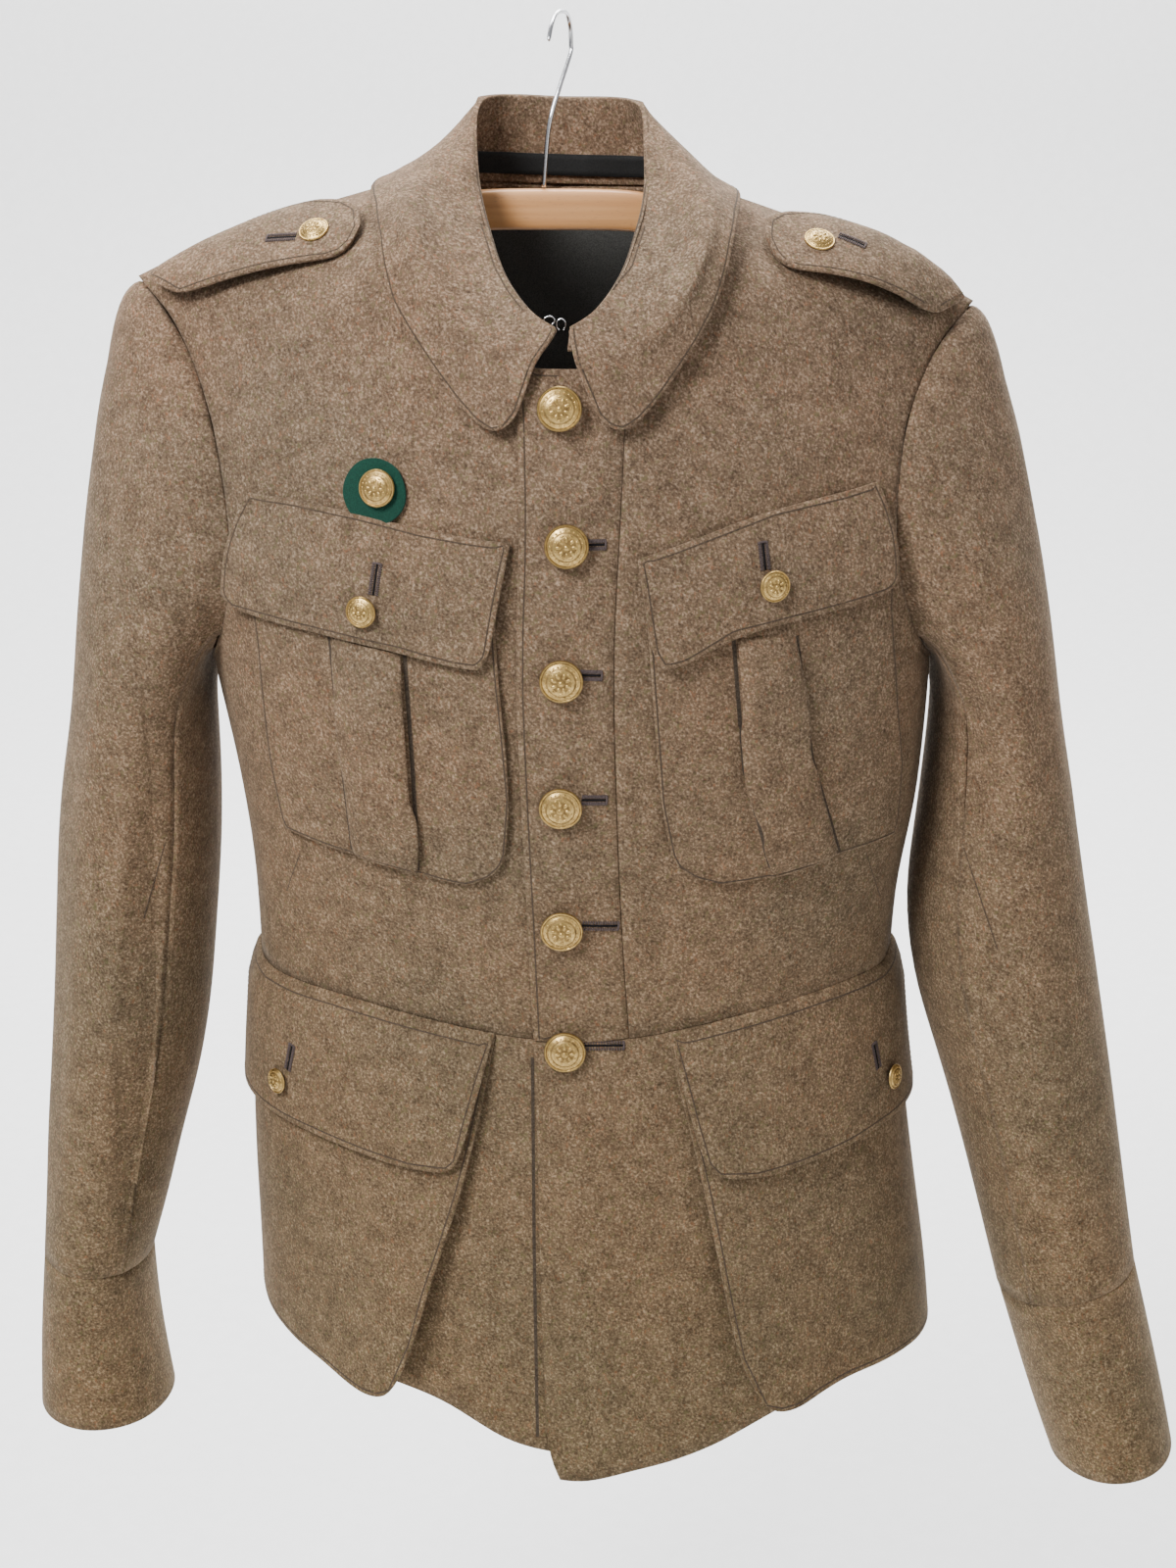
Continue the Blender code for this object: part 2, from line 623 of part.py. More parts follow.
def armhole(round_angle):
    """angle and z of the armhole at a place round it: 0 on top, 90 in front, 180 under the arm, 270 behind."""
    round_angle %= 360.0
    if round_angle <= 180.0:
        return follow(ARMHOLE_FRONT, round_angle / 180.0)
    return follow(ARMHOLE_BACK, (360.0 - round_angle) / 180.0)


def sleeve_ring(side, z, round_angle):
    """A point of the sleeve's level section, and the way down the arm there."""
    out, ahead, half_width, half_depth, turn = read(SLEEVE[side], z)
    out_low, ahead_low, *_ = read(SLEEVE[side], z - 0.015)
    out_high, ahead_high, *_ = read(SLEEVE[side], z + 0.015)
    down = Vector((side * (out_low - out_high), ahead_low - ahead_high, -0.030)).normalized()
    front = (Vector((0, -1, 0)) - down * down.dot(Vector((0, -1, 0)))).normalized()
    outward = front.cross(down) * (1 if front.cross(down).x * side > 0 else -1)
    around = math.radians(round_angle)
    wide = half_width * math.cos(around)
    deep = half_depth * math.sin(around)
    lean = math.radians(turn)
    centre = Vector((side * out, ahead, z))
    swing_wide = wide * math.cos(lean) + deep * math.sin(lean)
    swing_deep = deep * math.cos(lean) - wide * math.sin(lean)
    point = centre + outward * swing_wide + front * swing_deep
    return point, down


def sleeve_plain(side, round_angle, v):
    """A point of the sleeve's outer surface: v runs from the armhole over the head and down the arm."""
    if v >= HEAD_SHARE:
        z = mix(SLEEVE[side][0][0], SLEEVE_END[side], (v - HEAD_SHARE) / (1 - HEAD_SHARE))
        return sleeve_ring(side, z, round_angle)[0]
    angle, z = armhole(round_angle)
    start = body_plain(side * angle, z) + Vector((side * 0.0010, 0, 0))
    end, down = sleeve_ring(side, SLEEVE[side][0][0], round_angle)
    reach = (end - start).length
    leave = Vector((side * HEAD_REACH[side], 0, 0.06)) * reach
    arrive = down * reach
    t = v / HEAD_SHARE
    return (
        start * (2 * t**3 - 3 * t**2 + 1) + leave * (t**3 - 2 * t**2 + t)
        + end * (3 * t**2 - 2 * t**3) + arrive * (t**3 - t**2)
    )


def sleeve_folds(side, round_angle, z):
    height = 0.0
    for middle, half_width, top, foot, tall in SLEEVE_FOLDS[side]:
        aside = turned(round_angle - middle) / half_width
        height += tall * math.exp(-aside * aside) * ease((top - z) / 0.08) * ease((z - foot) / 0.08)
    return height


def sleeve(side, first, last):
    """A sleeve piece between two angles round the arm."""

    def place(u, v, lift):
        round_angle = mix(first, last, u)

        def plain(a, b):
            return sleeve_plain(side, a, b)

        point = plain(round_angle, v)
        step = 0.004
        low = max(v, step)
        out = side * normal_of(plain, round_angle, low, 1.5, step)
        return point + out * (lift + sleeve_folds(side, round_angle, point.z))

    return place


def sleeve_share(side, z):
    return mix(HEAD_SHARE, 1.0, (SLEEVE[side][0][0] - z) / (SLEEVE[side][0][0] - SLEEVE_END[side]))


# The collar: for half of it, from the front edge to the centre back, where its fold runs, where the fall's edge
# lies on the body and where the stand meets the neckline
# fold_x, fold_y, fold_z, edge_angle, edge_z
COLLAR = [
    (0.0035, -0.1060, -0.1436, 4.8, -0.1850), (0.0110, -0.1010, -0.1400, 7.5, -0.1950),
    (0.0185, -0.0940, -0.1347, 11.0, -0.1905), (0.0296, -0.0780, -0.1216, 16.0, -0.1725),
    (0.0361, -0.0570, -0.1048, 21.5, -0.1520), (0.0426, -0.0320, -0.0860, 30.0, -0.1290),
    (0.0449, -0.0050, -0.0655, 46.0, -0.1080), (0.0440, 0.0180, -0.0495, 80.0, -0.0940),
    (0.0280, 0.0390, -0.0490, 140.0, -0.0985), (0.0000, 0.0460, -0.0500, 180.0, -0.1010),
]
COLLAR_LIFT = 0.0076     # outer face of the fall over the body
FOLD_ROUND = 0.0030
COLLAR_DRAWN = {-1: 0.0025, 1: 0.0048}   # how much closer to the neck each half lies
COLLAR_RAISED = 0.0045   # how much higher the wearer's right half folds


def collar_section(u):
    """The points up the stand, over the fold and down the fall, at one place round the neck."""
    share = 1 - abs(2 * u - 1)
    side = -1 if u < 0.5 else 1
    fold_x, fold_y, fold_z, edge_angle, edge_z = follow(COLLAR, share)
    neck_angle, neck_z = follow(NECKLINE, share)
    bend = math.sin(math.pi * share)
    edge_z += COLLAR_DRAWN[side] * bend
    fold_x -= max(0.0, side * COLLAR_DRAWN[side]) * bend * ease((share - 0.5) / 0.2)
    fold_z += max(0.0, -side * COLLAR_RAISED) * bend * ease((share - 0.5) / 0.2)
    fold = Vector((side * fold_x, fold_y, fold_z))
    out = Vector((side * fold_x, fold_y + 0.020, 0.0)).normalized()
    up = Vector((0, 0, 1))
    foot = body_plain(side * neck_angle, neck_z) + up * 0.0006
    foot -= normal_of(body_plain, side * neck_angle, neck_z, 0.6, 0.0015) * WALL
    edge = body(side * edge_angle, edge_z, COLLAR_LIFT)
    first = body(side * mix(neck_angle, edge_angle, 0.45), mix(neck_z, edge_z, 0.45), COLLAR_LIFT + 0.0010)
    second = body(side * mix(neck_angle, edge_angle, 0.75), mix(neck_z, edge_z, 0.75), COLLAR_LIFT + 0.0006)
    shoulder = body(side * mix(neck_angle, edge_angle, 0.12), mix(neck_z, edge_z, 0.12), COLLAR_LIFT + 0.0030)
    over = fold + out * (2 * FOLD_ROUND) - up * 0.0010
    return [
        foot, foot.lerp(fold, 0.55), fold, fold + out * FOLD_ROUND + up * (0.8 * FOLD_ROUND), over,
        shoulder, first, second, edge,
    ]


def collar_plain(u, v):
    return Vector(follow([tuple(point) for point in collar_section(u)], v))


def collar(u, v, lift):
    low = min(max(v, 0.02), 0.98)
    near = min(max(u, 0.004), 0.996)
    out = normal_of(collar_plain, near, low, 0.004, 0.02)
    return collar_plain(u, v) + out * lift


# Shoulder straps: from the sleeve seam to the round end near the collar
# outer_y, inner_x, inner_y
STRAP = {-1: (0.0010, 0.1065, -0.0270), 1: (0.0010, 0.1060, -0.0250)}
STRAP_HALF = 0.0235
STRAP_CLEAR = 0.0050
STRAP_AIR = 0.0030        # over the shoulder at the strap's two ends
STRAP_PROUD = {-1: 0.0030, 1: 0.0105}


def armhole_reach(side, y):
    """How far out the armhole's upper part is at one y."""
    low, high = (0.0, 100.0) if y < 0 else (360.0, 270.0)
    for _ in range(24):
        middle = (low + high) / 2
        point = body_plain(side * armhole(middle)[0], armhole(middle)[1])
        if abs(point.y) < abs(y):
            low = middle
        else:
            high = middle
    return abs(point.x)


def strap_plain(side, s, w):
    outer_y, inner_x, inner_y = STRAP[side]
    half = STRAP_HALF
    if s > 0.76:
        half *= math.sqrt(max(0.0, 1 - ((s - 0.76) / 0.25) ** 2))
    y = mix(outer_y, inner_y, s) + half * w
    outer_x = armhole_reach(side, y) - STRAP_CLEAR
    return top_of(side * mix(outer_x, inner_x, s), y)


def strap(side):
    def place(u, v, lift):
        w = mix(-1.0, 1.0, u)

        def plain(a, b):
            return strap_plain(side, a, b)

        out = side * normal_of(plain, min(max(v, 0.01), 0.98), w, 0.01, 0.02)
        if out.z < 0:
            out = -out
        proud = STRAP_PROUD[side] * math.sin(math.pi * min(v * 1.15, 1.0) ** 0.8) + 0.0012 * v
        return plain(v, w) + out * (lift + STRAP_AIR + WALL + proud)

    return place


# Rows of the collar, up the stand, over the fold and down the fall
COLLAR_ALONG = [0, 0.12, 0.22, 0.30, 0.375, 0.45, 0.53, 0.64, 0.76, 0.88, 1]
TAPE_AIR = 0.0008
LINING_AIR = 0.0016


# The back's inside


def yoke_lining(u, v, lift):
    angle = mix(112.0, 248.0, u)
    top_z = read(NECKLINE, abs(turned(angle)))[0] - 0.0030
    z = mix(top_z, -0.2400, v)
    return body(angle, z, lift - WALL - LINING_AIR)


def neck_tape(u, v, lift):
    low, high = (collar(u, row, lift + THIN + TAPE_AIR) for row in COLLAR_ALONG[:2])
    return low.lerp(high, mix(0.2, 1.0, v))


# The hanger

BAR_CENTRE = -0.0040
HOOK_FOOT = -0.0105
HOOK_NECK = [(0.0010, 0, 0.012), (0.0022, 0, 0.026), (0.0048, 0.001, 0.040)]   # steps from the foot
HOOK_TURN = 76.0         # degrees of the hook's plane from the garment's front
BAR_END_DROP = 0.0407


def bar_top(x):
    away = max(0.0, abs(x) - 0.040) / (BAR_REACH - 0.040)
    leaning = SHOULDER_TILT * x * abs(x) / BAR_REACH
    return BAR_TOP - BAR_END_DROP * away**1.12 - leaning


def hanger_bar(material):
    bm = bmesh.new()
    rows = []
    for x in spread(-BAR_REACH, BAR_REACH, 19):
        taper = 1 - 0.25 * (abs(x) / BAR_REACH) ** 2
        end = 0.55 if abs(x) == BAR_REACH else 1.0
        half_tall = BAR_TALL / 2 * taper * end
        half_thick = BAR_THICK / 2 * end
        middle = bar_top(x) - BAR_TALL / 2 * taper
        row = []
        for corner in range(12):
            around = math.tau * (corner + 0.5) / 12
            wide = math.copysign(abs(math.cos(around)) ** 0.5, math.cos(around))
            tall = math.copysign(abs(math.sin(around)) ** 0.5, math.sin(around))
            row.append(bm.verts.new((x + BAR_CENTRE, half_thick * wide, middle + half_tall * tall)))
        rows.append(row)
    for low, high in zip(rows, rows[1:]):
        for k in range(12):
            bm.faces.new((low[k], low[(k + 1) % 12], high[(k + 1) % 12], high[k]))
    bm.faces.new(rows[0])
    bm.faces.new(rows[-1])
    return finish(bm, "hanger_bar", material)


def wire(name, points, thick, material, resolution=2):
    """A wire through points, as a curve with a round bevel and closed ends."""
    curve = bpy.data.curves.new(name, "CURVE")
    curve.dimensions = "3D"
    curve.bevel_depth = thick / 2
    curve.bevel_resolution = resolution
    curve.use_fill_caps = True
    line = curve.splines.new("POLY")
    line.points.add(len(points) - 1)
    for spot, point in zip(line.points, points):
        spot.co = (*point, 1.0)
    piece = bpy.data.objects.new(name, curve)
    curve.materials.append(material)
    TUNIC.objects.link(piece)
    return piece


def hook_points():
    """The hook's line: up from the bar, out to one side, round over the top and down to the tip."""
    aside = Vector((math.cos(math.radians(HOOK_TURN)), math.sin(math.radians(HOOK_TURN)), 0))
    radius = HOOK_RADIUS + HOOK_WIRE / 2
    centre = Vector((0, 0, -HOOK_RADIUS))
    foot = Vector((HOOK_FOOT, 0, bar_top(HOOK_FOOT - BAR_CENTRE) + 0.0004))
    bend = []
    for t in spread(-25.0, 172.0, 15):
        wide = radius * (1 + HOOK_SPREAD * ease((t - 90) / 100))
        across, up = wide * math.cos(math.radians(t)), wide * math.sin(math.radians(t))
        bend.append(centre + aside * across + Vector((0, 0, up)))
    neck = [foot] + [foot + Vector(step) for step in HOOK_NECK]
    points = [Vector(follow([tuple(p) for p in neck + bend[:2]], t)) for t in spread(0, 1, 11)]
    return points + bend[2:]


def ring_wire(name, centre, half_x, half_z, thick, material, opening=20.0):
    """A small flat loop of wire, open at the bottom."""
    points = [
        centre + Vector((half_x * math.sin(math.radians(t)), 0, half_z * math.cos(math.radians(t))))
        for t in spread(-180 + opening, 180 - opening, 11)
    ]
    return wire(name, points, thick, material, 1)


# Buttons

# share of the radius, height over the cloth
BUTTON_PROFILE = [
    (0.0, 0.0056), (0.50, 0.0052), (0.86, 0.0041), (1.0, 0.0031), (0.95, 0.0024), (0.24, 0.0022), (0.24, 0.0),
    (0.0, 0.0),
]
DISC_PROFILE = [(0.0, 0.0012), (1.0, 0.0012), (1.0, 0.0), (0.0, 0.0)]


def turned_piece(name, profile, width, tall, place, out, material, steps=12):
    """A turned piece whose axis stands on a place of the cloth."""
    mesh = bpy.data.meshes.new(name)
    points = [(width / 2 * share, 0, height * tall) for share, height in profile]
    mesh.from_pydata(points, [(k, k + 1) for k in range(len(points) - 1)], [])
    piece = bpy.data.objects.new(name, mesh)
    TUNIC.objects.link(piece)
    mesh.materials.append(material)
    turn = piece.modifiers.new("Turn", "SCREW")
    turn.axis = "Z"
    turn.steps = steps
    turn.render_steps = steps
    turn.use_merge_vertices = True
    turn.merge_threshold = 0.00001
    piece.location = place
    piece.rotation_mode = "QUATERNION"
    piece.rotation_quaternion = out.to_track_quat("Z", "X")
    return piece


def button_on(name, width, lift, material, angle, z):
    """A button on the body surface, at an angle and a height."""
    out = normal_of(body_plain, angle, z, 3.0, 0.006)
    return turned_piece(name, BUTTON_PROFILE, width, width / BUTTON_LARGE, body(angle, z, lift), out, material)


# x and z of the front buttons; angle and z of the others
FRONT_BUTTONS = [
    (-0.0018, -0.1810), (0.0020, -0.2486), (-0.0002, -0.3180), (-0.0014, -0.3866), (-0.0007, -0.4578),
    (0.0007, -0.5300),
]
UPPER_FLAP_BUTTON = {-1: (29.4, -0.2860), 1: (30.5, -0.2737)}
LOWER_FLAP_BUTTON = {-1: (57.4, -0.5721), 1: (65.5, -0.5780)}
STRAP_BUTTON = {-1: 0.76, 1: 0.73}
BADGE = (-26.4, -0.2243)
BADGE_LIFTS = (0.0004, 0.0019)
BADGE_BUTTON_TALL = 0.62


# Where the cloth pieces have their points, from 0 to 1 across them and along them
POCKET_SHARES = [0, 0.15, 0.3, 0.5, 0.75, 0.95, 1]
FLAP_SHARES = [0, 0.05, 0.12, 0.3, 0.5, 0.75, 0.95, 1]
PANEL_SHARES = [0, 0.03, 0.08, 0.15, 0.25, 0.37, 0.5, 0.62, 0.75, 0.87, 1]
LOWER_FLAP_SHARES = [0, 0.03, 0.12, 0.25, 0.4, 0.55, 0.7, 0.85, 1]
SKIRT_SHARES = [0, 0.02, 0.06, 0.12, 0.18, 0.25, 0.32, 0.4, 0.48, 0.57, 0.66, 0.75, 0.84, 0.92, 1]
STRAP_SHARES = [0, 0.2, 0.4, 0.6, 0.76, 0.86, 0.94, 1]
HEAD_SHARES = [0, 0.035, 0.08, 0.14, 0.20, 0.27, HEAD_SHARE]
CUFF_GAP = 0.0006        # half of the gap at the cuff seam, as a share of the sleeve
# Degrees round the arm of the two sleeve pieces
SLEEVE_UPPER = (-128.0, 133.0)
SLEEVE_UNDER = (133.6, 231.4)
BUTTON_AIR = 0.0005
# How far the buttons on the flaps stand off the body
UPPER_BUTTON_LIFT = 0.0084
LOWER_BUTTON_LIFT = 0.0084
EYE_PLACE = (-0.0065, -0.1012, -0.1395)
EYE_HALF = (0.0028, 0.0022)
HOOK_PLACE = (-0.0006, -0.1012, -0.1415)
HOOK_HALF = (0.0024, 0.0030)
FINE_WIRE = 0.0008


def side_pieces(side, word, wool, brass):
    """The pieces that each side has one of."""
    fronts = spread(0, 1, len(FRONT_ROWS))
    backs = spread(0, 1, len(BACK_ROWS))
    cloth(f"front_upper_{word}", front_upper(side), spread(0, 1, 14), fronts, wool)
    cloth(f"back_upper_{word}", back_upper(side), spread(0, 1, 11), backs, wool)
    cloth(f"lower_pocket_{word}", lower_pocket(side), PANEL_SHARES, spread(0, 1, 8), wool)
    cloth(f"lower_flap_{word}", lower_flap(side), LOWER_FLAP_SHARES, [0, 0.35, 0.7, 1], wool)
    cloth(f"upper_pocket_{word}", upper_pocket(side), POCKET_ACROSS, POCKET_SHARES, wool)
    cloth(f"upper_flap_{word}", upper_flap(side), FLAP_SHARES, spread(0, 1, 5), wool)

    seam = sleeve_share(side, CUFF_SEAM[side])
    arm = HEAD_SHARES + spread(HEAD_SHARE, seam - CUFF_GAP, 10)[1:]
    hand = spread(seam + CUFF_GAP, 1.0, 4)
    cloth(f"sleeve_upper_{word}", sleeve(side, *SLEEVE_UPPER), spread(0, 1, 16), arm, wool)
    cloth(f"sleeve_under_{word}", sleeve(side, *SLEEVE_UNDER), spread(0, 1, 7), arm, wool)
    cloth(f"cuff_{word}", sleeve(side, 0.0, 360.0), spread(0, 1, 19)[:-1], hand, wool, ring=True)
    cloth(f"shoulder_strap_{word}", strap(side), [0, 0.15, 0.4, 0.6, 0.85, 1], STRAP_SHARES, wool)

    angle, z = UPPER_FLAP_BUTTON[side]
    button_on(f"upper_flap_button_{word}", BUTTON_SMALL, UPPER_BUTTON_LIFT, brass, side * angle, z)
    angle, z = LOWER_FLAP_BUTTON[side]
    button_on(f"lower_flap_button_{word}", BUTTON_LOWER, LOWER_BUTTON_LIFT, brass, side * angle, z)
    seat = strap(side)(0.5, STRAP_BUTTON[side], BUTTON_AIR)
    above = strap(side)(0.5, STRAP_BUTTON[side], 0.01)
    out = (above - seat).normalized()
    turned_piece(f"strap_button_{word}", BUTTON_PROFILE, BUTTON_STRAP, BUTTON_STRAP / BUTTON_LARGE, seat, out, brass)


def main():
    wool = paint("wool", (0.235, 0.180, 0.125), 0.95)
    black = paint("lining", (0.010, 0.010, 0.011), 0.85)
    brass = paint("brass", (0.55, 0.42, 0.19), 0.38, 1.0)
    felt = paint("felt", (0.015, 0.095, 0.060), 0.95)
    beech = paint("beech", (0.66, 0.40, 0.21), 0.45)
    steel = paint("steel", (0.62, 0.62, 0.64), 0.18, 1.0)

    for side, word in ((-1, "right"), (1, "left")):
        side_pieces(side, word, wool, brass)
    cloth("placket_left", placket, [0, 0.2, 0.4, 0.7, 1], spread(0, 1, 12), wool)
    cloth("skirt_front_right", skirt_front_right, spread(0, 1, 15), spread(0, 1, 7), wool)
    cloth("skirt_front_left", skirt_front_left, SKIRT_SHARES, spread(0, 1, 7), wool)
    cloth("skirt_back", skirt_back, spread(0, 1, 17), spread(0, 1, 7), wool)
    collar_across = spread(0, 1, 29)
    cloth("collar", collar, collar_across, COLLAR_ALONG, wool)
    cloth("yoke_lining", yoke_lining, spread(0, 1, 12), spread(0, 1, 7), black, THIN)
    cloth("neck_tape", neck_tape, collar_across[10:19], [0, 1], black, THIN)

    hanger_bar(beech)
    wire("hanger_hook", hook_points(), HOOK_WIRE, steel)
    ring_wire("collar_eye", Vector(EYE_PLACE), *EYE_HALF, FINE_WIRE, steel)
    ring_wire("collar_hook", Vector(HOOK_PLACE), *HOOK_HALF, FINE_WIRE, steel)

    for count, (x, z) in enumerate(FRONT_BUTTONS, 1):
        edge, seam = placket_x(z)
        lift = overlap_rise((x - edge) / (seam - edge)) + BUTTON_AIR
        button_on(f"front_button_{count}", BUTTON_LARGE, lift, brass, angle_at(x, z), z)
    out = normal_of(body_plain, *BADGE, 3.0, 0.006)
    disc_seat, button_seat = (body(*BADGE, lift) for lift in BADGE_LIFTS)
    turned_piece("badge_disc", DISC_PROFILE, BADGE_DISC, 1.0, disc_seat, out, felt, 16)
    turned_piece("badge_button", BUTTON_PROFILE, BADGE_BUTTON, BADGE_BUTTON_TALL, button_seat, out, brass)


for old in list(bpy.data.objects):
    bpy.data.objects.remove(old)
TUNIC = bpy.data.collections.new("tunic_on_hanger")
bpy.context.scene.collection.children.link(TUNIC)
main()
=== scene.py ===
# %% [markdown]
# # A wool tunic on a wooden hanger
# The tunic is cut from thick felted wool: fronts, backs and skirts, two-piece sleeves with cuffs, a
# turned-down collar, and pockets, flaps and shoulder straps sewn on top. It hangs from a bent wooden bar
# with a chromed hook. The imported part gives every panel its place, so this lesson starts from those
# panels and makes them look like cloth.

import math
import bmesh
import bpy
from mathutils import Matrix, Vector, noise
from mathutils.bvhtree import BVHTree


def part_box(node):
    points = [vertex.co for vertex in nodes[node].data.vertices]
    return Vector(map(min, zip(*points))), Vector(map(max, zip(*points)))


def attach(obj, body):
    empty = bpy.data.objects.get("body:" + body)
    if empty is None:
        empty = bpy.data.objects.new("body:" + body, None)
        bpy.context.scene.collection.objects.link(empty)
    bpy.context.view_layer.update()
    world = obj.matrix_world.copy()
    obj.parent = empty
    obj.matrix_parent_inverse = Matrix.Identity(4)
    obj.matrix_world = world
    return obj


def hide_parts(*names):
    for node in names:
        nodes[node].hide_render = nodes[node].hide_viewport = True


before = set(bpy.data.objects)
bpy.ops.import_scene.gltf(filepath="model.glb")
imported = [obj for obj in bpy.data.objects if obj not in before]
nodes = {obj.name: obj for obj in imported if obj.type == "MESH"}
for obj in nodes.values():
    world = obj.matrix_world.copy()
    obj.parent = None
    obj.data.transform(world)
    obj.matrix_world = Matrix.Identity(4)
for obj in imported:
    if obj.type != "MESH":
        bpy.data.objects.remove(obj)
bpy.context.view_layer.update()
BODY = "root"

# %% [markdown]
# ## Small helpers for materials
# Each finish is a tree of shader nodes. A few helpers keep the cells short: one makes a material and
# hands back its shader, one adds a node and sets its inputs by name, and the rest make noises, colour
# ramps, mixes and bumps. The patterns are read in the object's own coordinates, in metres, so a pattern's
# scale is simply how many of its waves fit in one metre.

# %% Helpers for materials
def new_material(name, colour, roughness, metallic=0.0):
    made = bpy.data.materials.new(name)
    made.use_nodes = True
    made.diffuse_color = (*colour, 1.0)
    shader = made.node_tree.nodes["Principled BSDF"]
    shader.inputs["Base Color"].default_value = (*colour, 1.0)
    shader.inputs["Roughness"].default_value = roughness
    shader.inputs["Metallic"].default_value = metallic
    return made, made.node_tree, shader


def add(tree, kind, **inputs):
    made = tree.nodes.new(kind)
    for name, value in inputs.items():
        socket = made.inputs[name.replace("_", " ")]
        if isinstance(value, bpy.types.NodeSocket):
            tree.links.new(value, socket)
        else:
            socket.default_value = value
    return made


def stretched(tree, scale, turn=(0.0, 0.0, 0.0)):
    """The object's coordinates, turned and then stretched."""
    place = add(tree, "ShaderNodeTexCoord").outputs["Object"]
    spun = add(tree, "ShaderNodeMapping", Vector=place, Rotation=turn)
    return add(tree, "ShaderNodeMapping", Vector=spun.outputs["Vector"], Scale=scale).outputs["Vector"]


def speckle(tree, scale, detail=2.0, roughness=0.5, vector=None):
    vector = vector or add(tree, "ShaderNodeTexCoord").outputs["Object"]
    made = add(tree, "ShaderNodeTexNoise", Vector=vector, Scale=scale, Detail=detail, Roughness=roughness)
    return made.outputs["Fac"]


def ramp(tree, value, *stops):
    """Colours or greys at places from 0 to 1."""
    made = add(tree, "ShaderNodeValToRGB", Fac=value)
    elements = made.color_ramp.elements
    while len(elements) < len(stops):
        elements.new(0.5)
    for element, (place, colour) in zip(elements, stops):
        element.position = place
        element.color = (*colour, 1.0) if hasattr(colour, "__len__") else (colour, colour, colour, 1.0)
    return made.outputs["Color"]


def blend(tree, first, second, share, mode="MIX"):
    made = tree.nodes.new("ShaderNodeMix")
    made.data_type = "RGBA"
    made.blend_type = mode
    for socket, value in ((made.inputs[6], first), (made.inputs[7], second), (made.inputs[0], share)):
        if isinstance(value, bpy.types.NodeSocket):
            tree.links.new(value, socket)
        elif hasattr(value, "__len__"):
            socket.default_value = (*value, 1.0)
        else:
            socket.default_value = value
    return made.outputs[2]


def bump(tree, shader, height, strength, distance):
    made = add(tree, "ShaderNodeBump", Height=height, Strength=strength, Distance=distance)
    tree.links.new(made.outputs["Normal"], shader.inputs["Normal"])


# %% [markdown]
# ## The melange wool
# The wool is spun from fibres dyed light beige, dark brown, olive and rust, and then felted, so from near
# it is a mass of soft flecks one to three millimetres across. Two stretched noises, each turned its own
# way, and a round one give flecks that look like tangled fibres. Slow noises change the tone from place
# to place, as wear does. Sheen on the shader stands for the fuzz that catches light at the edges.

# %% The melange wool
# The fibres from dark to light, and the two colours strewn among them
BROWN = (0.046, 0.031, 0.020)
TAN = (0.128, 0.088, 0.054)
BEIGE = (0.33, 0.252, 0.175)
RUST = (0.20, 0.085, 0.040)
OLIVE = (0.105, 0.098, 0.042)
# The cloth is a little paler and cooler at the shoulders and yellower at the hem
SHOULDER_LEVEL = -0.15
HEM_LEVEL = -0.80


def melange(name):
    made, tree, shader = new_material(name, (0.235, 0.18, 0.125), 0.95)
    across = speckle(tree, 1.0, 3.0, 0.65, stretched(tree, (900, 650, 420), (0.2, 0.4, 0.7)))
    down = speckle(tree, 1.0, 3.0, 0.65, stretched(tree, (420, 700, 900), (0.5, -0.3, -0.5)))
    round_flecks = speckle(tree, 760, 2.0, 0.6)
    tangle = blend(tree, blend(tree, across, down, 0.5), round_flecks, 0.38)
    flecks = ramp(tree, tangle, (0.34, BROWN), (0.50, TAN), (0.68, BEIGE))
    rusty = speckle(tree, 520, 2.0, 0.6, stretched(tree, (1, 1, 0.6), (0.4, 0.1, 0.9)))
    green = speckle(tree, 430, 2.0, 0.6, stretched(tree, (0.7, 1, 1), (0.9, 0.6, 0.2)))
    warm = blend(tree, flecks, RUST, ramp(tree, rusty, (0.60, 0.0), (0.70, 0.5)))
    colour = blend(tree, warm, OLIVE, ramp(tree, green, (0.58, 0.0), (0.68, 0.55)))
    patches = ramp(tree, speckle(tree, 95, 4.0, 0.65), (0.33, 0.74), (0.67, 1.20))
    wear = ramp(tree, speckle(tree, 9, 2.0, 0.5), (0.35, (0.93, 0.95, 0.95)), (0.65, (1.07, 1.01, 0.98)))
    place = add(tree, "ShaderNodeTexCoord").outputs["Object"]
    height = add(tree, "ShaderNodeSeparateXYZ", Vector=place).outputs["Z"]
    lowness = add(tree, "ShaderNodeMapRange", Value=height, From_Min=SHOULDER_LEVEL, From_Max=HEM_LEVEL)
    tone = ramp(tree, lowness.outputs["Result"], (0.0, (1.04, 1.01, 1.06)), (1.0, (0.94, 0.93, 0.80)))
    for change in (patches, wear, tone):
        colour = blend(tree, colour, change, 1.0, "MULTIPLY")
    tree.links.new(colour, shader.inputs["Base Color"])
    felt_height = blend(tree, tangle, speckle(tree, 260, 3.0, 0.6), 0.4)
    bump(tree, shader, felt_height, 0.65, 0.0011)
    shader.inputs["Specular IOR Level"].default_value = 0.12
    shader.inputs["Sheen Weight"].default_value = 0.12
    shader.inputs["Sheen Roughness"].default_value = 0.45
    shader.inputs["Sheen Tint"].default_value = (0.70, 0.58, 0.45, 1.0)
    return made


WOOL = melange("melange wool")
print("made", WOOL.name)

# %% [markdown]
# ## The other cloths and the threads
# The lining and the neck tape are black cotton with a fine weave. The badge lies on dark green felt. The
# sewing is brown thread a little darker than the wool, and the buttonholes are worked in thick
# purple-grey thread.

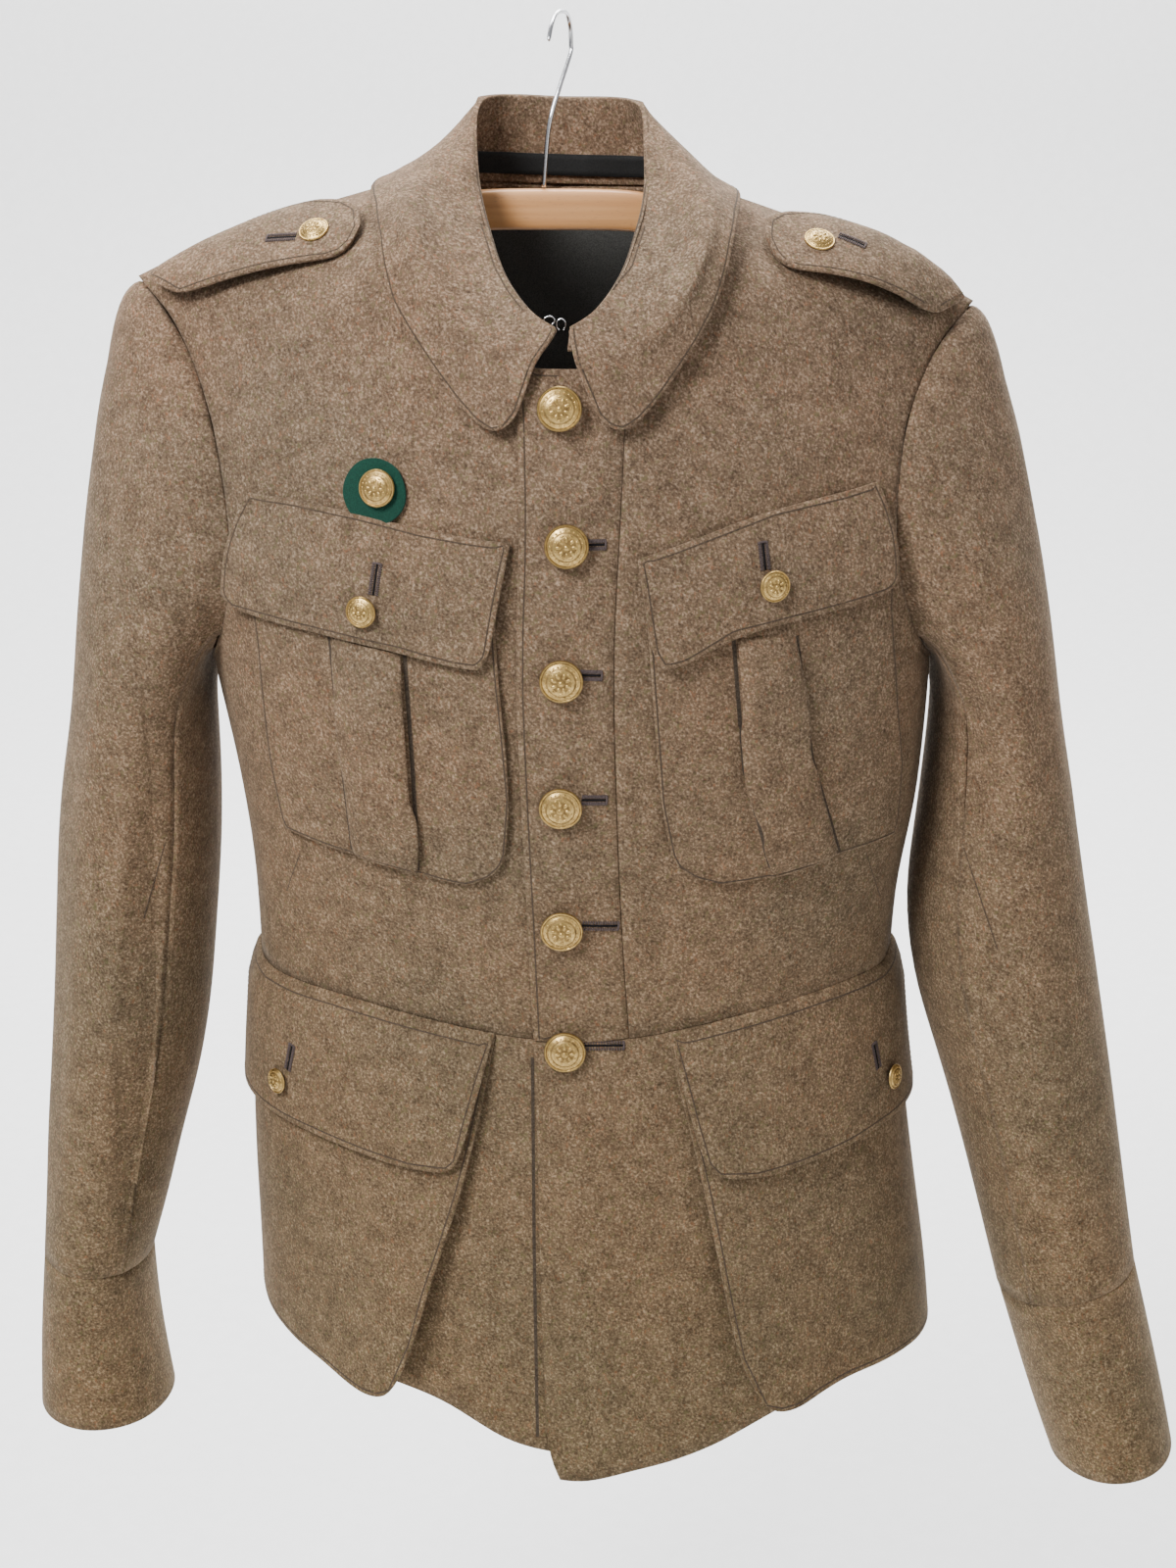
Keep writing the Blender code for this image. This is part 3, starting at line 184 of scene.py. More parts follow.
# %% Lining, felt and threads
def plain_cloth(name, colour, roughness, scale, sheen):
    made, tree, shader = new_material(name, colour, roughness)
    grain = speckle(tree, scale, 3.0, 0.6)
    dark = tuple(v * 0.55 for v in colour)
    pale = tuple(v * 1.5 for v in colour)
    tree.links.new(ramp(tree, grain, (0.3, dark), (0.7, pale)), shader.inputs["Base Color"])
    bump(tree, shader, grain, 0.4, 0.0005)
    shader.inputs["Sheen Weight"].default_value = sheen
    shader.inputs["Specular IOR Level"].default_value = 0.2
    return made


LINING = plain_cloth("black lining", (0.060, 0.060, 0.056), 0.7, 1400, 0.12)
TAPE = plain_cloth("black neck tape", (0.010, 0.010, 0.010), 0.8, 1400, 0.03)
FELT = plain_cloth("green felt", (0.004, 0.033, 0.021), 0.95, 1700, 0.05)
THREAD = plain_cloth("brown sewing thread", (0.055, 0.038, 0.026), 0.9, 2200, 0.05)
# Painted shade: darker wool colour that stands for the shadow in sewn grooves and seams
GROOVE_SHADE = plain_cloth("painted shade in sewn grooves", (0.062, 0.043, 0.028), 0.95, 800, 0.05)
HOLE_THREAD = plain_cloth("purple-grey buttonhole thread", (0.066, 0.048, 0.046), 0.85, 2000, 0.05)
# Painted shade: near-black that stands for the shadow inside a buttonhole's slit
SLIT_SHADE = plain_cloth("painted shade in a slit", (0.006, 0.005, 0.006), 1.0, 900, 0.0)
print("made the lining, felt and threads")

# %% [markdown]
# ## Metal and wood
# The buttons are stamped brass, dull from age, with dirt and painted shade in the low places. The hook is
# bright chromed wire. The bar is varnished beech, whose grain runs along it: noise stretched along X gives
# long lines, and fine dark dashes are the rays that beech shows.

# %% Brass, brass with dirt and painted shade, chrome and beech
def dull_metal(name, colour, dark, roughness):
    made, tree, shader = new_material(name, colour, roughness, 1.0)
    cloud = speckle(tree, 420, 4.0, 0.65)
    tree.links.new(ramp(tree, cloud, (0.35, dark), (0.62, colour)), shader.inputs["Base Color"])
    tree.links.new(ramp(tree, cloud, (0.3, roughness + 0.18), (0.7, roughness)), shader.inputs["Roughness"])
    bump(tree, shader, speckle(tree, 1500, 3.0, 0.6), 0.3, 0.0002)
    return made


BRASS = dull_metal("dull brass", (0.60, 0.41, 0.15), (0.36, 0.24, 0.085), 0.30)
# Darker brass for the hollows: dirt, and painted shade where the relief would shade itself
DIRT_AND_SHADE_BRASS = dull_metal("brass darkened by dirt and painted shade", (0.36, 0.24, 0.09), (0.16, 0.10, 0.04), 0.5)
CHROME = dull_metal("chromed wire", (0.72, 0.72, 0.74), (0.60, 0.60, 0.62), 0.10)


def varnished_beech():
    made, tree, shader = new_material("varnished beech", (0.66, 0.40, 0.21), 0.42)
    grain = speckle(tree, 1.0, 4.0, 0.6, stretched(tree, (9, 260, 260)))
    dashes = speckle(tree, 1.0, 1.0, 0.5, stretched(tree, (330, 900, 1500)))
    rays = ramp(tree, dashes, (0.64, 0.0), (0.74, 0.45))
    wood = ramp(tree, grain, (0.3, (0.50, 0.225, 0.080)), (0.7, (0.62, 0.315, 0.125)))
    tree.links.new(blend(tree, wood, (0.36, 0.18, 0.085), rays), shader.inputs["Base Color"])
    shader.inputs["Coat Weight"].default_value = 0.25
    shader.inputs["Coat Roughness"].default_value = 0.3
    bump(tree, shader, grain, 0.15, 0.0004)
    return made


BEECH = varnished_beech()
print("made the metals and the wood")

# %% [markdown]
# ## How hanging cloth sways
# Heavy wool on a hanger is never quite smooth: it swells and sinks by a few millimetres. One function of
# place gives that movement, and every piece, button and stitch is moved by it. Pieces that lie on each
# other are at nearly the same place, so they move together and stay apart.

# %% The sway
SWAY_BROAD = 0.0020
SWAY_FINE = 0.0007
# Above this height the cloth is held still by the hanger, and it sways fully from this far below it
HELD_ABOVE = -0.10
FREE_BELOW = 0.08


def sway(place):
    broad = noise.noise(Vector((place.x * 11, place.y * 7, place.z * 7)) + Vector((3.1, 0.7, 5.2)))
    side = noise.noise(Vector((place.x * 7, place.y * 9, place.z * 8)) + Vector((8.4, 2.2, 1.9)))
    fine = noise.noise(Vector((place.x * 38, place.y * 30, place.z * 24)) + Vector((1.3, 6.1, 4.4)))
    calm = min(1.0, max(0.0, (HELD_ABOVE - place.z) / FREE_BELOW))
    return Vector((SWAY_BROAD * 0.6 * side, -(SWAY_BROAD * broad + SWAY_FINE * fine), 0.0)) * calm


# %% [markdown]
# ## From a panel to cloth
# Each packed panel has two faces joined by a narrow rim. A copy of it is merged and made into four-sided
# faces, its sharp edges are creased, and Subdivision Surface rounds it. The weaker the crease, the softer
# the rim turns, as a folded edge of thick wool does. The copy then takes the sway, and the panel itself is
# hidden behind it.

# %% Turn panels into cloth
SAME_PLACE = 0.000002
QUAD_ANGLE = math.radians(60)
SHARP_ANGLE = math.radians(50)


def deselect():
    bpy.ops.object.select_all(action="DESELECT")


def edit_all():
    bpy.ops.object.mode_set(mode="EDIT")
    bpy.ops.mesh.select_all(action="SELECT")


def leave_edit():
    bpy.ops.object.mode_set(mode="OBJECT")


def resize(factors):
    """Resizes what is selected, about the origin."""
    bpy.ops.transform.resize(value=factors, center_override=(0, 0, 0))


def pick(obj):
    deselect()
    obj.select_set(True)
    bpy.context.view_layer.objects.active = obj


def fresh_copy(node, name):
    made = nodes[node].copy()
    made.data = nodes[node].data.copy()
    bpy.context.scene.collection.objects.link(made)
    made.parent = None
    for key in [k for k in made.keys() if k.startswith("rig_")]:
        del made[key]
    made.name = name
    made.data.materials.clear()
    pick(made)
    edit_all()
    bpy.ops.mesh.remove_doubles(threshold=SAME_PLACE)
    bpy.ops.mesh.tris_convert_to_quads(face_threshold=QUAD_ANGLE, shape_threshold=QUAD_ANGLE)
    leave_edit()
    return made


def soften(obj, crease, levels=2):
    pick(obj)
    bpy.ops.object.mode_set(mode="EDIT")
    bpy.ops.mesh.select_all(action="DESELECT")
    bpy.ops.mesh.select_mode(type="EDGE")
    bpy.ops.mesh.edges_select_sharp(sharpness=SHARP_ANGLE)
    bpy.ops.transform.edge_crease(value=crease)
    leave_edit()
    smooth = obj.modifiers.new("rounding", "SUBSURF")
    smooth.levels = levels
    smooth.render_levels = levels
    bpy.ops.object.modifier_apply(modifier=smooth.name)
    bpy.ops.object.shade_smooth()


def hang(obj):
    for vertex in obj.data.vertices:
        vertex.co += sway(vertex.co)


def show(obj, material, slot, *replaced):
    """Gives a piece its material, and says what it replaces and which body it rides; the slot is not used."""
    if material:
        obj.data.materials.clear()
        obj.data.materials.append(material)
    if replaced:
        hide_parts(*replaced)
    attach(obj, BODY)
    return obj


# %% [markdown]
# ## The cut of every cloth piece
# The whole garment is sheets of cloth. For each piece this table gives the width and length of the cloth
# that it is cut from, the area of its own shape, how it is held and what it lies on or hangs from.

# %% The cut
SIDES = ("right", "left")
CUTS = {
    "front_upper": (0.270, 0.460, 0.0950, "hung", "hanger_bar"),
    "back_upper": (0.240, 0.440, 0.0880, "hung", "hanger_bar"),
    "skirt_front": (0.265, 0.280, 0.0650, "hung", "front_upper"),
    "upper_pocket": (0.160, 0.165, 0.0240, "laid", "front_upper"),
    "upper_flap": (0.155, 0.075, 0.0098, "laid", "upper_pocket"),
    "lower_pocket": (0.215, 0.245, 0.0470, "laid", "skirt_front"),
    "lower_flap": (0.195, 0.100, 0.0178, "laid", "lower_pocket"),
    "sleeve_upper": (0.265, 0.600, 0.1250, "hung", "front_upper"),
    "sleeve_under": (0.125, 0.410, 0.0410, "hung", "back_upper"),
    "cuff": (0.280, 0.115, 0.0300, "hung", "sleeve_upper"),
    "shoulder_strap": (0.055, 0.140, 0.0072, "laid", "front_upper"),
}
SINGLE_CUTS = {
    "placket_left": (0.055, 0.368, 0.0195, "laid", "front_upper_left"),
    "skirt_back": (0.440, 0.240, 0.1000, "hung", "back_upper_left"),
    "collar": (0.450, 0.125, 0.0514, "folded", "front_upper_left"),
}
LINING_CUTS = {
    "yoke_lining": (0.430, 0.150, 0.0549, "hung", "hanger_bar"),
    "neck_tape": (0.165, 0.019, 0.0027, "laid", "collar"),
}
CREASE = {
    "collar": 0.55, "shoulder_strap": 0.6, "upper_flap": 0.7, "lower_flap": 0.7, "lower_pocket": 0.75,
    "upper_pocket": 0.8, "placket_left": 0.8,
}
SEAMED = 1.0

# %% [markdown]
# ## Finding the outer face and its rim
# The sewing follows the rims of the pieces, so the rim of each panel's outer face is kept before the
# rounding. The outer face is the largest group of faces that no sharp edge divides.

# %% Faces and rims
def regions_of(bm, sharp):
    """Groups of faces that join without a sharp edge, largest first."""
    left = set(bm.faces)
    groups = []
    while left:
        start = left.pop()
        group = [start]
        queue = [start]
        while queue:
            face = queue.pop()
            for edge in face.edges:
                if len(edge.link_faces) == 2 and edge.calc_face_angle() < sharp:
                    for other in edge.link_faces:
                        if other in left:
                            left.remove(other)
                            group.append(other)
                            queue.append(other)
        groups.append(group)
    return sorted(groups, key=lambda g: -sum(f.calc_area() for f in g))


def outer_rims(obj):
    """The edge loops round the outer face, as lists of (place, way into the piece)."""
    bm = bmesh.new()
    bm.from_mesh(obj.data)
    outer = set(regions_of(bm, SHARP_ANGLE)[0])
    following = {}
    for face in outer:
        for loop in face.loops:
            if not all(other in outer for other in loop.edge.link_faces):
                following[loop.vert] = (loop.link_loop_next.vert, face.normal.copy())
    rims = []
    while following:
        start = next(iter(following))
        chain = []
        vertex = start
        while vertex in following:
            after, normal = following.pop(vertex)
            chain.append((vertex.co.copy(), normal))
            vertex = after
        places = [p for p, _ in chain]
        line = []
        for i, (place, normal) in enumerate(chain):
            before = places[i - 1]
            after = places[(i + 1) % len(places)]
            inward = (normal + chain[i - 1][1]).cross(after - before)
            line.append((place, inward.normalized()))
        rims.append(line)
    bm.free()
    return rims


# %% [markdown]
# ## Making all the cloth pieces
# Every panel becomes a piece of cloth. Its finished surface is kept as a search tree, which later finds
# the nearest point of the cloth for every stitch.

# %% The cloth pieces
cloth = {}
rims = {}
trees = {}


def tree_of(obj):
    return BVHTree.FromPolygons([v.co for v in obj.data.vertices], [p.vertices[:] for p in obj.data.polygons])


def make_cloth(node, material, slot, crease):
    obj = fresh_copy(node, node + "_cloth")
    rims[node] = outer_rims(obj)
    soften(obj, crease)
    hang(obj)
    trees[node] = tree_of(obj)
    cloth[node] = show(obj, material, slot, node)


for stem, cut in CUTS.items():
    for side in SIDES:
        make_cloth(f"{stem}_{side}", WOOL, "wool", CREASE.get(stem, SEAMED))
for name in SINGLE_CUTS:
    make_cloth(name, WOOL, "wool", CREASE.get(name, SEAMED))
for name in LINING_CUTS:
    make_cloth(name, TAPE if name == "neck_tape" else LINING, "lining", SEAMED)
print("made", len(cloth), "cloth pieces,", sum(len(o.data.polygons) for o in cloth.values()), "faces")

# %% [markdown]
# ## Rolling the sleeve heads
# A set-in sleeve is fuller than its armhole, so its head rolls up over the seam. Points near the seam are
# drawn to the body's cloth until they meet it, and the points just outside them swell by a few
# millimetres.

# %% Sleeve heads
ROLL_REACH = 0.048
ROLL_TALL = 0.0055
# The roll starts at this height and is full this far above it
ROLL_FROM = -0.270
ROLL_FULL = 0.090
SEAM_HELD = 0.004
DRAWN_REACH = 0.012


def draw_to(obj, others, reach, power=2.0, pull=1.1):
    """Closes a seam: points within reach of the other cloth move towards it, the nearest all the way."""
    for vertex in obj.data.vertices:
        found = [trees[n].find_nearest(vertex.co, reach) for n in others]
        found = [f for f in found if f[0] is not None]
        if found:
            nearest = min(found, key=lambda f: f[3])
            share = (1 - nearest[3] / reach) ** power
            vertex.co += (nearest[0] - vertex.co) * min(1.0, share * pull)


def roll_head(side):
    name = f"sleeve_upper_{side}"
    obj = cloth[name]
    body = [f"front_upper_{side}", f"back_upper_{side}"]
    way = Vector((-0.75 if side == "right" else 0.75, -0.25, 0.60)).normalized()
    for vertex in obj.data.vertices:
        found = [trees[n].find_nearest(vertex.co, ROLL_REACH) for n in body]
        gap = min([f[3] for f in found if f[0] is not None], default=ROLL_REACH)
        high = min(1.0, max(0.0, (vertex.co.z - ROLL_FROM) / ROLL_FULL))
        share = min(1.0, gap / SEAM_HELD) * max(0.0, 1 - gap / ROLL_REACH)
        vertex.co += way * ROLL_TALL * share * high
    draw_to(obj, body, DRAWN_REACH)
    trees[name] = tree_of(obj)


# %% [markdown]
# ## Folds down the sleeves
# The sleeves hang in a few soft folds. Each fold is a line in the front view, and the cloth near it is
# moved forwards, or backwards for a hollow, by less and less with the distance from the line.

# %% Sleeve folds
# Places down the fold, how far it stands out, and how wide it is
SLEEVE_FOLDS = {
    "right": [
        ([(-0.237, -0.270), (-0.233, -0.396), (-0.236, -0.509), (-0.242, -0.680)], -0.0060, 0.010),
        ([(-0.206, -0.330), (-0.207, -0.420), (-0.206, -0.520)], 0.0030, 0.008),
    ],
    "left": [
        ([(0.222, -0.290), (0.228, -0.400), (0.236, -0.500), (0.250, -0.610)], -0.0055, 0.010),
        ([(0.262, -0.260), (0.272, -0.420), (0.290, -0.600)], 0.0025, 0.012),
    ],
}
FOLD_ENDS = 0.05
FACING_GAIN = 1.4
FRONT_OF_SLEEVE = -0.02


def nearness(line, place, wide):
    """1 on a line drawn in the front view, falling off to nothing beside it and past its ends."""
    for (x1, z1), (x2, z2) in zip(line, line[1:]):
        if z2 <= place.z <= z1:
            middle = x1 + (x2 - x1) * (z1 - place.z) / (z1 - z2)
            ends = min(1.0, (line[0][1] - place.z) / FOLD_ENDS, (place.z - line[-1][1]) / FOLD_ENDS)
            return math.exp(-(((place.x - middle) / wide) ** 2)) * max(0.0, ends)
    return 0.0


def fold_sleeve(side):
    for name in (f"sleeve_upper_{side}", f"sleeve_under_{side}"):
        points = cloth[name].data.vertices
        facings = [min(1.0, max(0.0, -point.normal.y) * FACING_GAIN) for point in points]
        for point, facing in zip(points, facings):
            if facing > 0 and point.co.y < FRONT_OF_SLEEVE:
                for line, tall, wide in SLEEVE_FOLDS[side]:
                    point.co.y -= tall * nearness(line, point.co, wide) * facing
        trees[name] = tree_of(cloth[name])


# %% [markdown]
# ## Straps, neck tape and waist
# The straps hang over the fronts a little, so they are turned forwards round a line that runs inside the
# shoulder, and their back edges are let down onto the cloth. The lower pockets and flaps are drawn in
# towards the waist, and the cuffs and under sleeves towards the upper sleeves.

# %% Lay the straps and draw the pieces in
STRAP_TURN = {"right": 15.0, "left": 14.0}
# The line in the shoulder, as distances to the side and heights, and how deep it runs under the cloth
LINE_START = (0.110, -0.090)
LINE_END = (0.215, -0.143)
SHOULDER_DEEP = 0.055
STRAP_GAP = 0.0035
STRAP_SETTLE = 0.65
BEHIND_FROM = -0.015
BEHIND_FULL = 0.025
TAPE_SHARE = 0.62
TAPE_NEAR = 0.004
WAIST_REACH = 0.024
WAIST_PULL = 1.25
CUFF_REACH = 0.005
UNDER_REACH = 0.004


def on_shoulder(side, place):
    """A place on the strap after the strap is turned forwards round the line in the shoulder."""
    sign = -1 if side == "right" else 1
    inner = Vector((sign * LINE_START[0], 0.0, LINE_START[1] - SHOULDER_DEEP))
    outer = Vector((sign * LINE_END[0], 0.0, LINE_END[1] - SHOULDER_DEEP))
    turn = Matrix.Rotation(math.radians(STRAP_TURN[side]), 3, (outer - inner) * sign)
    return inner + turn @ (place - inner)


def lay_strap(side):
    name = f"shoulder_strap_{side}"
    body = [trees[f"front_upper_{side}"], trees[f"back_upper_{side}"]]
    for vertex in cloth[name].data.vertices:
        place = on_shoulder(side, vertex.co)
        hit, _, _, gap = min((tree.find_nearest(place) for tree in body), key=lambda found: found[3])
        behind = min(1.0, max(0.0, (place.y - BEHIND_FROM) / BEHIND_FULL))
        loose = max(0.0, gap - STRAP_GAP) * STRAP_SETTLE * behind
        vertex.co = place + (hit - place).normalized() * loose
    rims[name] = [[(on_shoulder(side, place), way) for place, way in rim] for rim in rims[name]]
    trees[name] = tree_of(cloth[name])


def narrow_tape():
    """The neck tape shows as a narrow band, so its upper edge comes down to a share of its height."""
    points = cloth["neck_tape"].data.vertices
    places = [point.co.copy() for point in points]
    for point in points:
        bottom = min(other.z for other in places if abs(other.x - point.co.x) < TAPE_NEAR)
        point.co.z = bottom + (point.co.z - bottom) * TAPE_SHARE


narrow_tape()
for side in SIDES:
    fold_sleeve(side)
    roll_head(side)
    lay_strap(side)
    body = [f"front_upper_{side}", f"back_upper_{side}"]
    for node in (f"lower_pocket_{side}", f"lower_flap_{side}"):
        draw_to(cloth[node], body, WAIST_REACH, power=1.0, pull=WAIST_PULL)
        trees[node] = tree_of(cloth[node])
    draw_to(cloth[f"cuff_{side}"], [f"sleeve_upper_{side}", f"sleeve_under_{side}"], CUFF_REACH)
    draw_to(cloth[f"sleeve_under_{side}"], [f"sleeve_upper_{side}"], UNDER_REACH)
print("folded the sleeves, rolled their heads and laid the straps")

# %% [markdown]
# ## The box pleats of the chest pockets
# Down the middle of each chest pocket the cloth is folded into a band that stands a few millimetres
# proud. It is a grid laid between the band's two folds, one of which gapes more than the other. Solidify
# gives it the wool's thickness, and Subdivision Surface rounds its folds.

# %% The box pleats
PLEAT_ROWS = 14
PLEAT_COLUMNS = 6
PLEAT_WALL = 0.0018
# The band rises over this share of its length at the top and the foot, and keeps some height at its foot
RISE_TOP = 0.10
RISE_FOOT = 0.15
FOOT_KEEPS = 0.25
IN_FRONT = -0.3
# The two folds from top to bottom, in the order of +X, and how proud each stands
PLEATS = {
    "right": (
        [(-0.1195, -0.1040, -0.3020), (-0.1150, -0.1030, -0.3700), (-0.1105, -0.1000, -0.4310)],
        [(-0.0830, -0.1180, -0.3050), (-0.0800, -0.1180, -0.3700), (-0.0785, -0.1140, -0.4330)],
        0.0026,
        0.0052,
    ),
    "left": (
        [(0.0890, -0.1168, -0.2990), (0.0955, -0.1150, -0.3700), (0.1115, -0.1112, -0.4320)],
        [(0.1190, -0.1064, -0.2990), (0.1290, -0.1020, -0.3700), (0.1460, -0.0920, -0.4280)],
        0.0052,
        0.0034,
    ),
}


def on_cloth(tree, place):
    """The cloth's nearest point to a place that is known, and the way out of the cloth there."""
    hit, normal, _, _ = tree.find_nearest(place + sway(place))
    return hit, normal


def from_front(tree, place):
    """The outer face of the cloth, looked for straight from the front."""
    hit, normal, _, _ = tree.ray_cast(Vector((place.x, IN_FRONT, place.z)), Vector((0, 1, 0)))
    return (hit, normal) if hit else on_cloth(tree, place)


def along_line(places, share):
    """A place part of the way down a line of three."""
    first, middle, last = (Vector(p) for p in places)
    return first.lerp(middle, share * 2) if share < 0.5 else middle.lerp(last, share * 2 - 1)


def box_pleat(side):
    low_x, high_x, low_proud, high_proud = PLEATS[side]
    tree = trees[f"upper_pocket_{side}"]
    deselect()
    bpy.ops.mesh.primitive_grid_add(
        x_subdivisions=PLEAT_COLUMNS, y_subdivisions=PLEAT_ROWS, size=1, location=(0, 0, 0)
    )
    made = bpy.context.active_object
    made.name = f"box_pleat_{side}"
    for vertex in made.data.vertices:
        across = vertex.co.x + 0.5
        down = 0.5 - vertex.co.y
        flat = along_line(low_x, down).lerp(along_line(high_x, down), across)
        hit, normal = from_front(tree, flat)
        proud = low_proud + (high_proud - low_proud) * across
        rising = min(1.0, down / RISE_TOP) * min(1.0, FOOT_KEEPS + (1 - down) / RISE_FOOT)
        vertex.co = hit + normal * proud * rising
    pick(made)
    edit_all()
    bpy.ops.mesh.normals_make_consistent(inside=False)
    leave_edit()
    if made.data.polygons[0].normal.y > 0:
        made.data.flip_normals()
    wall = made.modifiers.new("wall", "SOLIDIFY")
    wall.thickness = PLEAT_WALL
    wall.offset = -1
    bpy.ops.object.modifier_apply(modifier=wall.name)
    soften(made, 0.6)
    return show(made, WOOL, "wool")


pleats = {side: box_pleat(side) for side in SIDES}
print("folded", len(pleats), "box pleats")

# %% [markdown]
# ## Counting the cloth pieces
# Now that every piece lies where it belongs, their number is printed. The pleats belong to the chest pockets.


print("declared", len(cloth), "sheets")

# %% [markdown]
# ## One stitch, laid many times
# A topstitch shows as a short thread lying in a groove that it pulls into the wool. One stitch is
# modelled as a small eight-sided sphere drawn out long, and it is copied along a line at an even pitch.
# Under each row runs a thin flat strip of darker wool colour: painted shade, standing for the shadow in the
# groove at this size.

# %% One stitch
STITCH_LONG = 0.0025
STITCH_THICK = 0.00034
STITCH_PITCH = 0.0033
QUARTER_TURN = math.radians(90)

deselect()
bpy.ops.mesh.primitive_uv_sphere_add(segments=8, ring_count=5, radius=0.5, location=(0, 0, 0))
stitch = bpy.context.active_object
stitch.name = "one stitch"
edit_all()
bpy.ops.transform.rotate(value=QUARTER_TURN, orient_axis="Y", center_override=(0, 0, 0))
resize((STITCH_LONG, STITCH_THICK, STITCH_THICK))
leave_edit()
STITCH_MESH = stitch.data
STITCH_MESH.materials.append(THREAD)
bpy.data.objects.remove(stitch)
print("one stitch has", len(STITCH_MESH.polygons), "faces")


def even_points(points, pitch):
    """Places along a line at an even pitch, with the way the line runs there."""
    found = []
    ahead = 0.0
    for start, end in zip(points, points[1:]):
        step = (end - start).length
        while ahead < step:
            found.append((start.lerp(end, ahead / step), (end - start).normalized()))
            ahead += pitch
        ahead -= step
    return found


def joined(name, meshes):
    """One object from many (mesh, matrix) pairs."""
    made = []
    for mesh, matrix in meshes:
        copy = mesh.copy()
        copy.transform(matrix)
        obj = bpy.data.objects.new(name, copy)
        bpy.context.scene.collection.objects.link(obj)
        made.append(obj)
    deselect()
    for obj in made:
        obj.select_set(True)
    bpy.context.view_layer.objects.active = made[0]
    if len(made) > 1:
        bpy.ops.object.join()
    return made[0]


def standing(place, along, normal):
    """A matrix with X along the line and Z out of the cloth."""
    out = normal.normalized()
    side = out.cross(along).normalized()
    ahead = side.cross(out)
    return Matrix.Translation(place) @ Matrix((ahead, side, out)).transposed().to_4x4()


# %% [markdown]
# ## Rows of topstitching
# The rows follow the rims of the pieces that are sewn on: the collar's edge, the straps, the flaps, the
# pockets and the placket. Each row is the piece's own rim moved a few millimetres inwards, so it stays
# true to the cut.

# %% Rows of topstitching
# The strip of painted shade along each row: half its width, how far its top stands out, how deep its edges
# sink, and its flat top as a share of its width
SHADE_STRIP_HALF = 0.00055
SHADE_STRIP_PROUD = 0.00006
SHADE_STRIP_DEEP = 0.0003
SHADE_STRIP_FLAT = 0.8
STITCH_PROUD = 0.00008
COLLAR_BACK = 0.02
COLLAR_TOP = -0.075
FLAP_SHARE = 0.1


def row_points(node, inset, keep):
    """Runs of places along the rim of a piece, moved inwards, where keep(place) is true."""
    runs = []
    for rim in rims[node]:
        line = [place + way * inset for place, way in rim]
        line.append(line[0])
        run = []
        for place, along in even_points(line, STITCH_PITCH):
            if keep(place):
                run.append((place, along))
            else:
                runs.append(run)
                run = []
        runs.append(run)
    return [run for run in runs if len(run) > 2]


def shade_strip(bm, spots, wide):
    """A flat strip of painted shade, darker than the wool, that lies along the stitches."""
    last = None
    for place, along, normal in spots:
        side = normal.cross(along).normalized() * wide
        lift = normal * SHADE_STRIP_PROUD
        low = normal * -SHADE_STRIP_DEEP
        offsets = (side + low, side * SHADE_STRIP_FLAT + lift, lift - side * SHADE_STRIP_FLAT, low - side)
        ring = [bm.verts.new(place + offset) for offset in offsets]
        if last:
            for k in range(4):
                bm.faces.new((last[k], last[(k + 1) % 4], ring[(k + 1) % 4], ring[k]))
        else:
            bm.faces.new(ring)
        last = ring
    bm.faces.new(reversed(last))


def shade_strips(name, strips, material, wide):
    """One object from strips of painted shade, each given as spots of (place, way along, way out of the
    cloth).
    """
    bm = bmesh.new()
    for spots in strips:
        shade_strip(bm, spots, wide)
    bmesh.ops.recalc_face_normals(bm, faces=bm.faces)
    mesh = bpy.data.meshes.new(name)
    bm.to_mesh(mesh)
    bm.free()
    made = bpy.data.objects.new(name, mesh)
    bpy.context.scene.collection.objects.link(made)
    show(made, material, "wool")


def sew(name, node, runs):
    copies = []
    strips = []
    for run in runs:
        spots = []
        for place, along in run:
            hit, normal = on_cloth(trees[node], place)
            spots.append((hit, along, normal))
            copies.append((STITCH_MESH, standing(hit + normal * STITCH_PROUD, along, normal)))
        strips.append(spots)
    # The strip under the stitches is painted shade, standing for the groove's shadow
    shade_strips(name + "_groove_shade", strips, GROOVE_SHADE, SHADE_STRIP_HALF)
    show(joined(name + "_stitches", copies), None, "wool")
    return len(copies)


def anywhere(place):
    return True


def collar_edge(place):
    """The front of the collar's fall, and not its upper edge at the neck."""
    return place.y < COLLAR_BACK and place.z <= COLLAR_TOP


def under_the_flap(node):
    low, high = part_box(node)
    level = high.z - (high.z - low.z) * FLAP_SHARE
    return lambda place: place.z < level


# The piece, how far its row runs from the rim, and where it is sewn
ROWS = [("collar", 0.0022, collar_edge)]
for side in SIDES:
    ROWS += [
        (f"shoulder_strap_{side}", 0.0032, anywhere),
        (f"upper_flap_{side}", 0.0030, anywhere),
        (f"lower_flap_{side}", 0.0034, anywhere),
        (f"upper_pocket_{side}", 0.0016, anywhere),
        (f"lower_pocket_{side}", 0.0030, under_the_flap(f"lower_pocket_{side}")),
    ]
ROWS.append(("placket_left", 0.0034, lambda place: place.x < 0.0))
total = 0
for node, inset, keep in ROWS:
    total += sew(f"{node}_edge", node, row_points(node, inset, keep))
print("laid", total, "stitches")

# %% [markdown]
# ## Painted shade along darts, seams and pleat folds
# Where two edges are joined, or a pleat is folded, the wool sinks in and shade falls in a fine line, and the
# raised edge of a pleat or of the overlapping front casts a narrow shadow. That shade is painted: each line
# is a few places on the cloth, joined by a dark strip that hugs the surface between them.

# %% Painted shade along darts, seams and pleat folds
FOLD = plain_cloth("wool in a fold's shadow", (0.050, 0.037, 0.026), 0.95, 800, 0.0)
SHADE_LINE_STEP = 0.003
SEAM_HALF = 0.0004


def shade_line(name, node, places, material, wide):
    spots = []
    for place, along in even_points([Vector(p) for p in places], SHADE_LINE_STEP):
        hit, normal = from_front(trees[node], place)
        spots.append((hit, along, normal))
    shade_strips(name, [spots], material, wide)
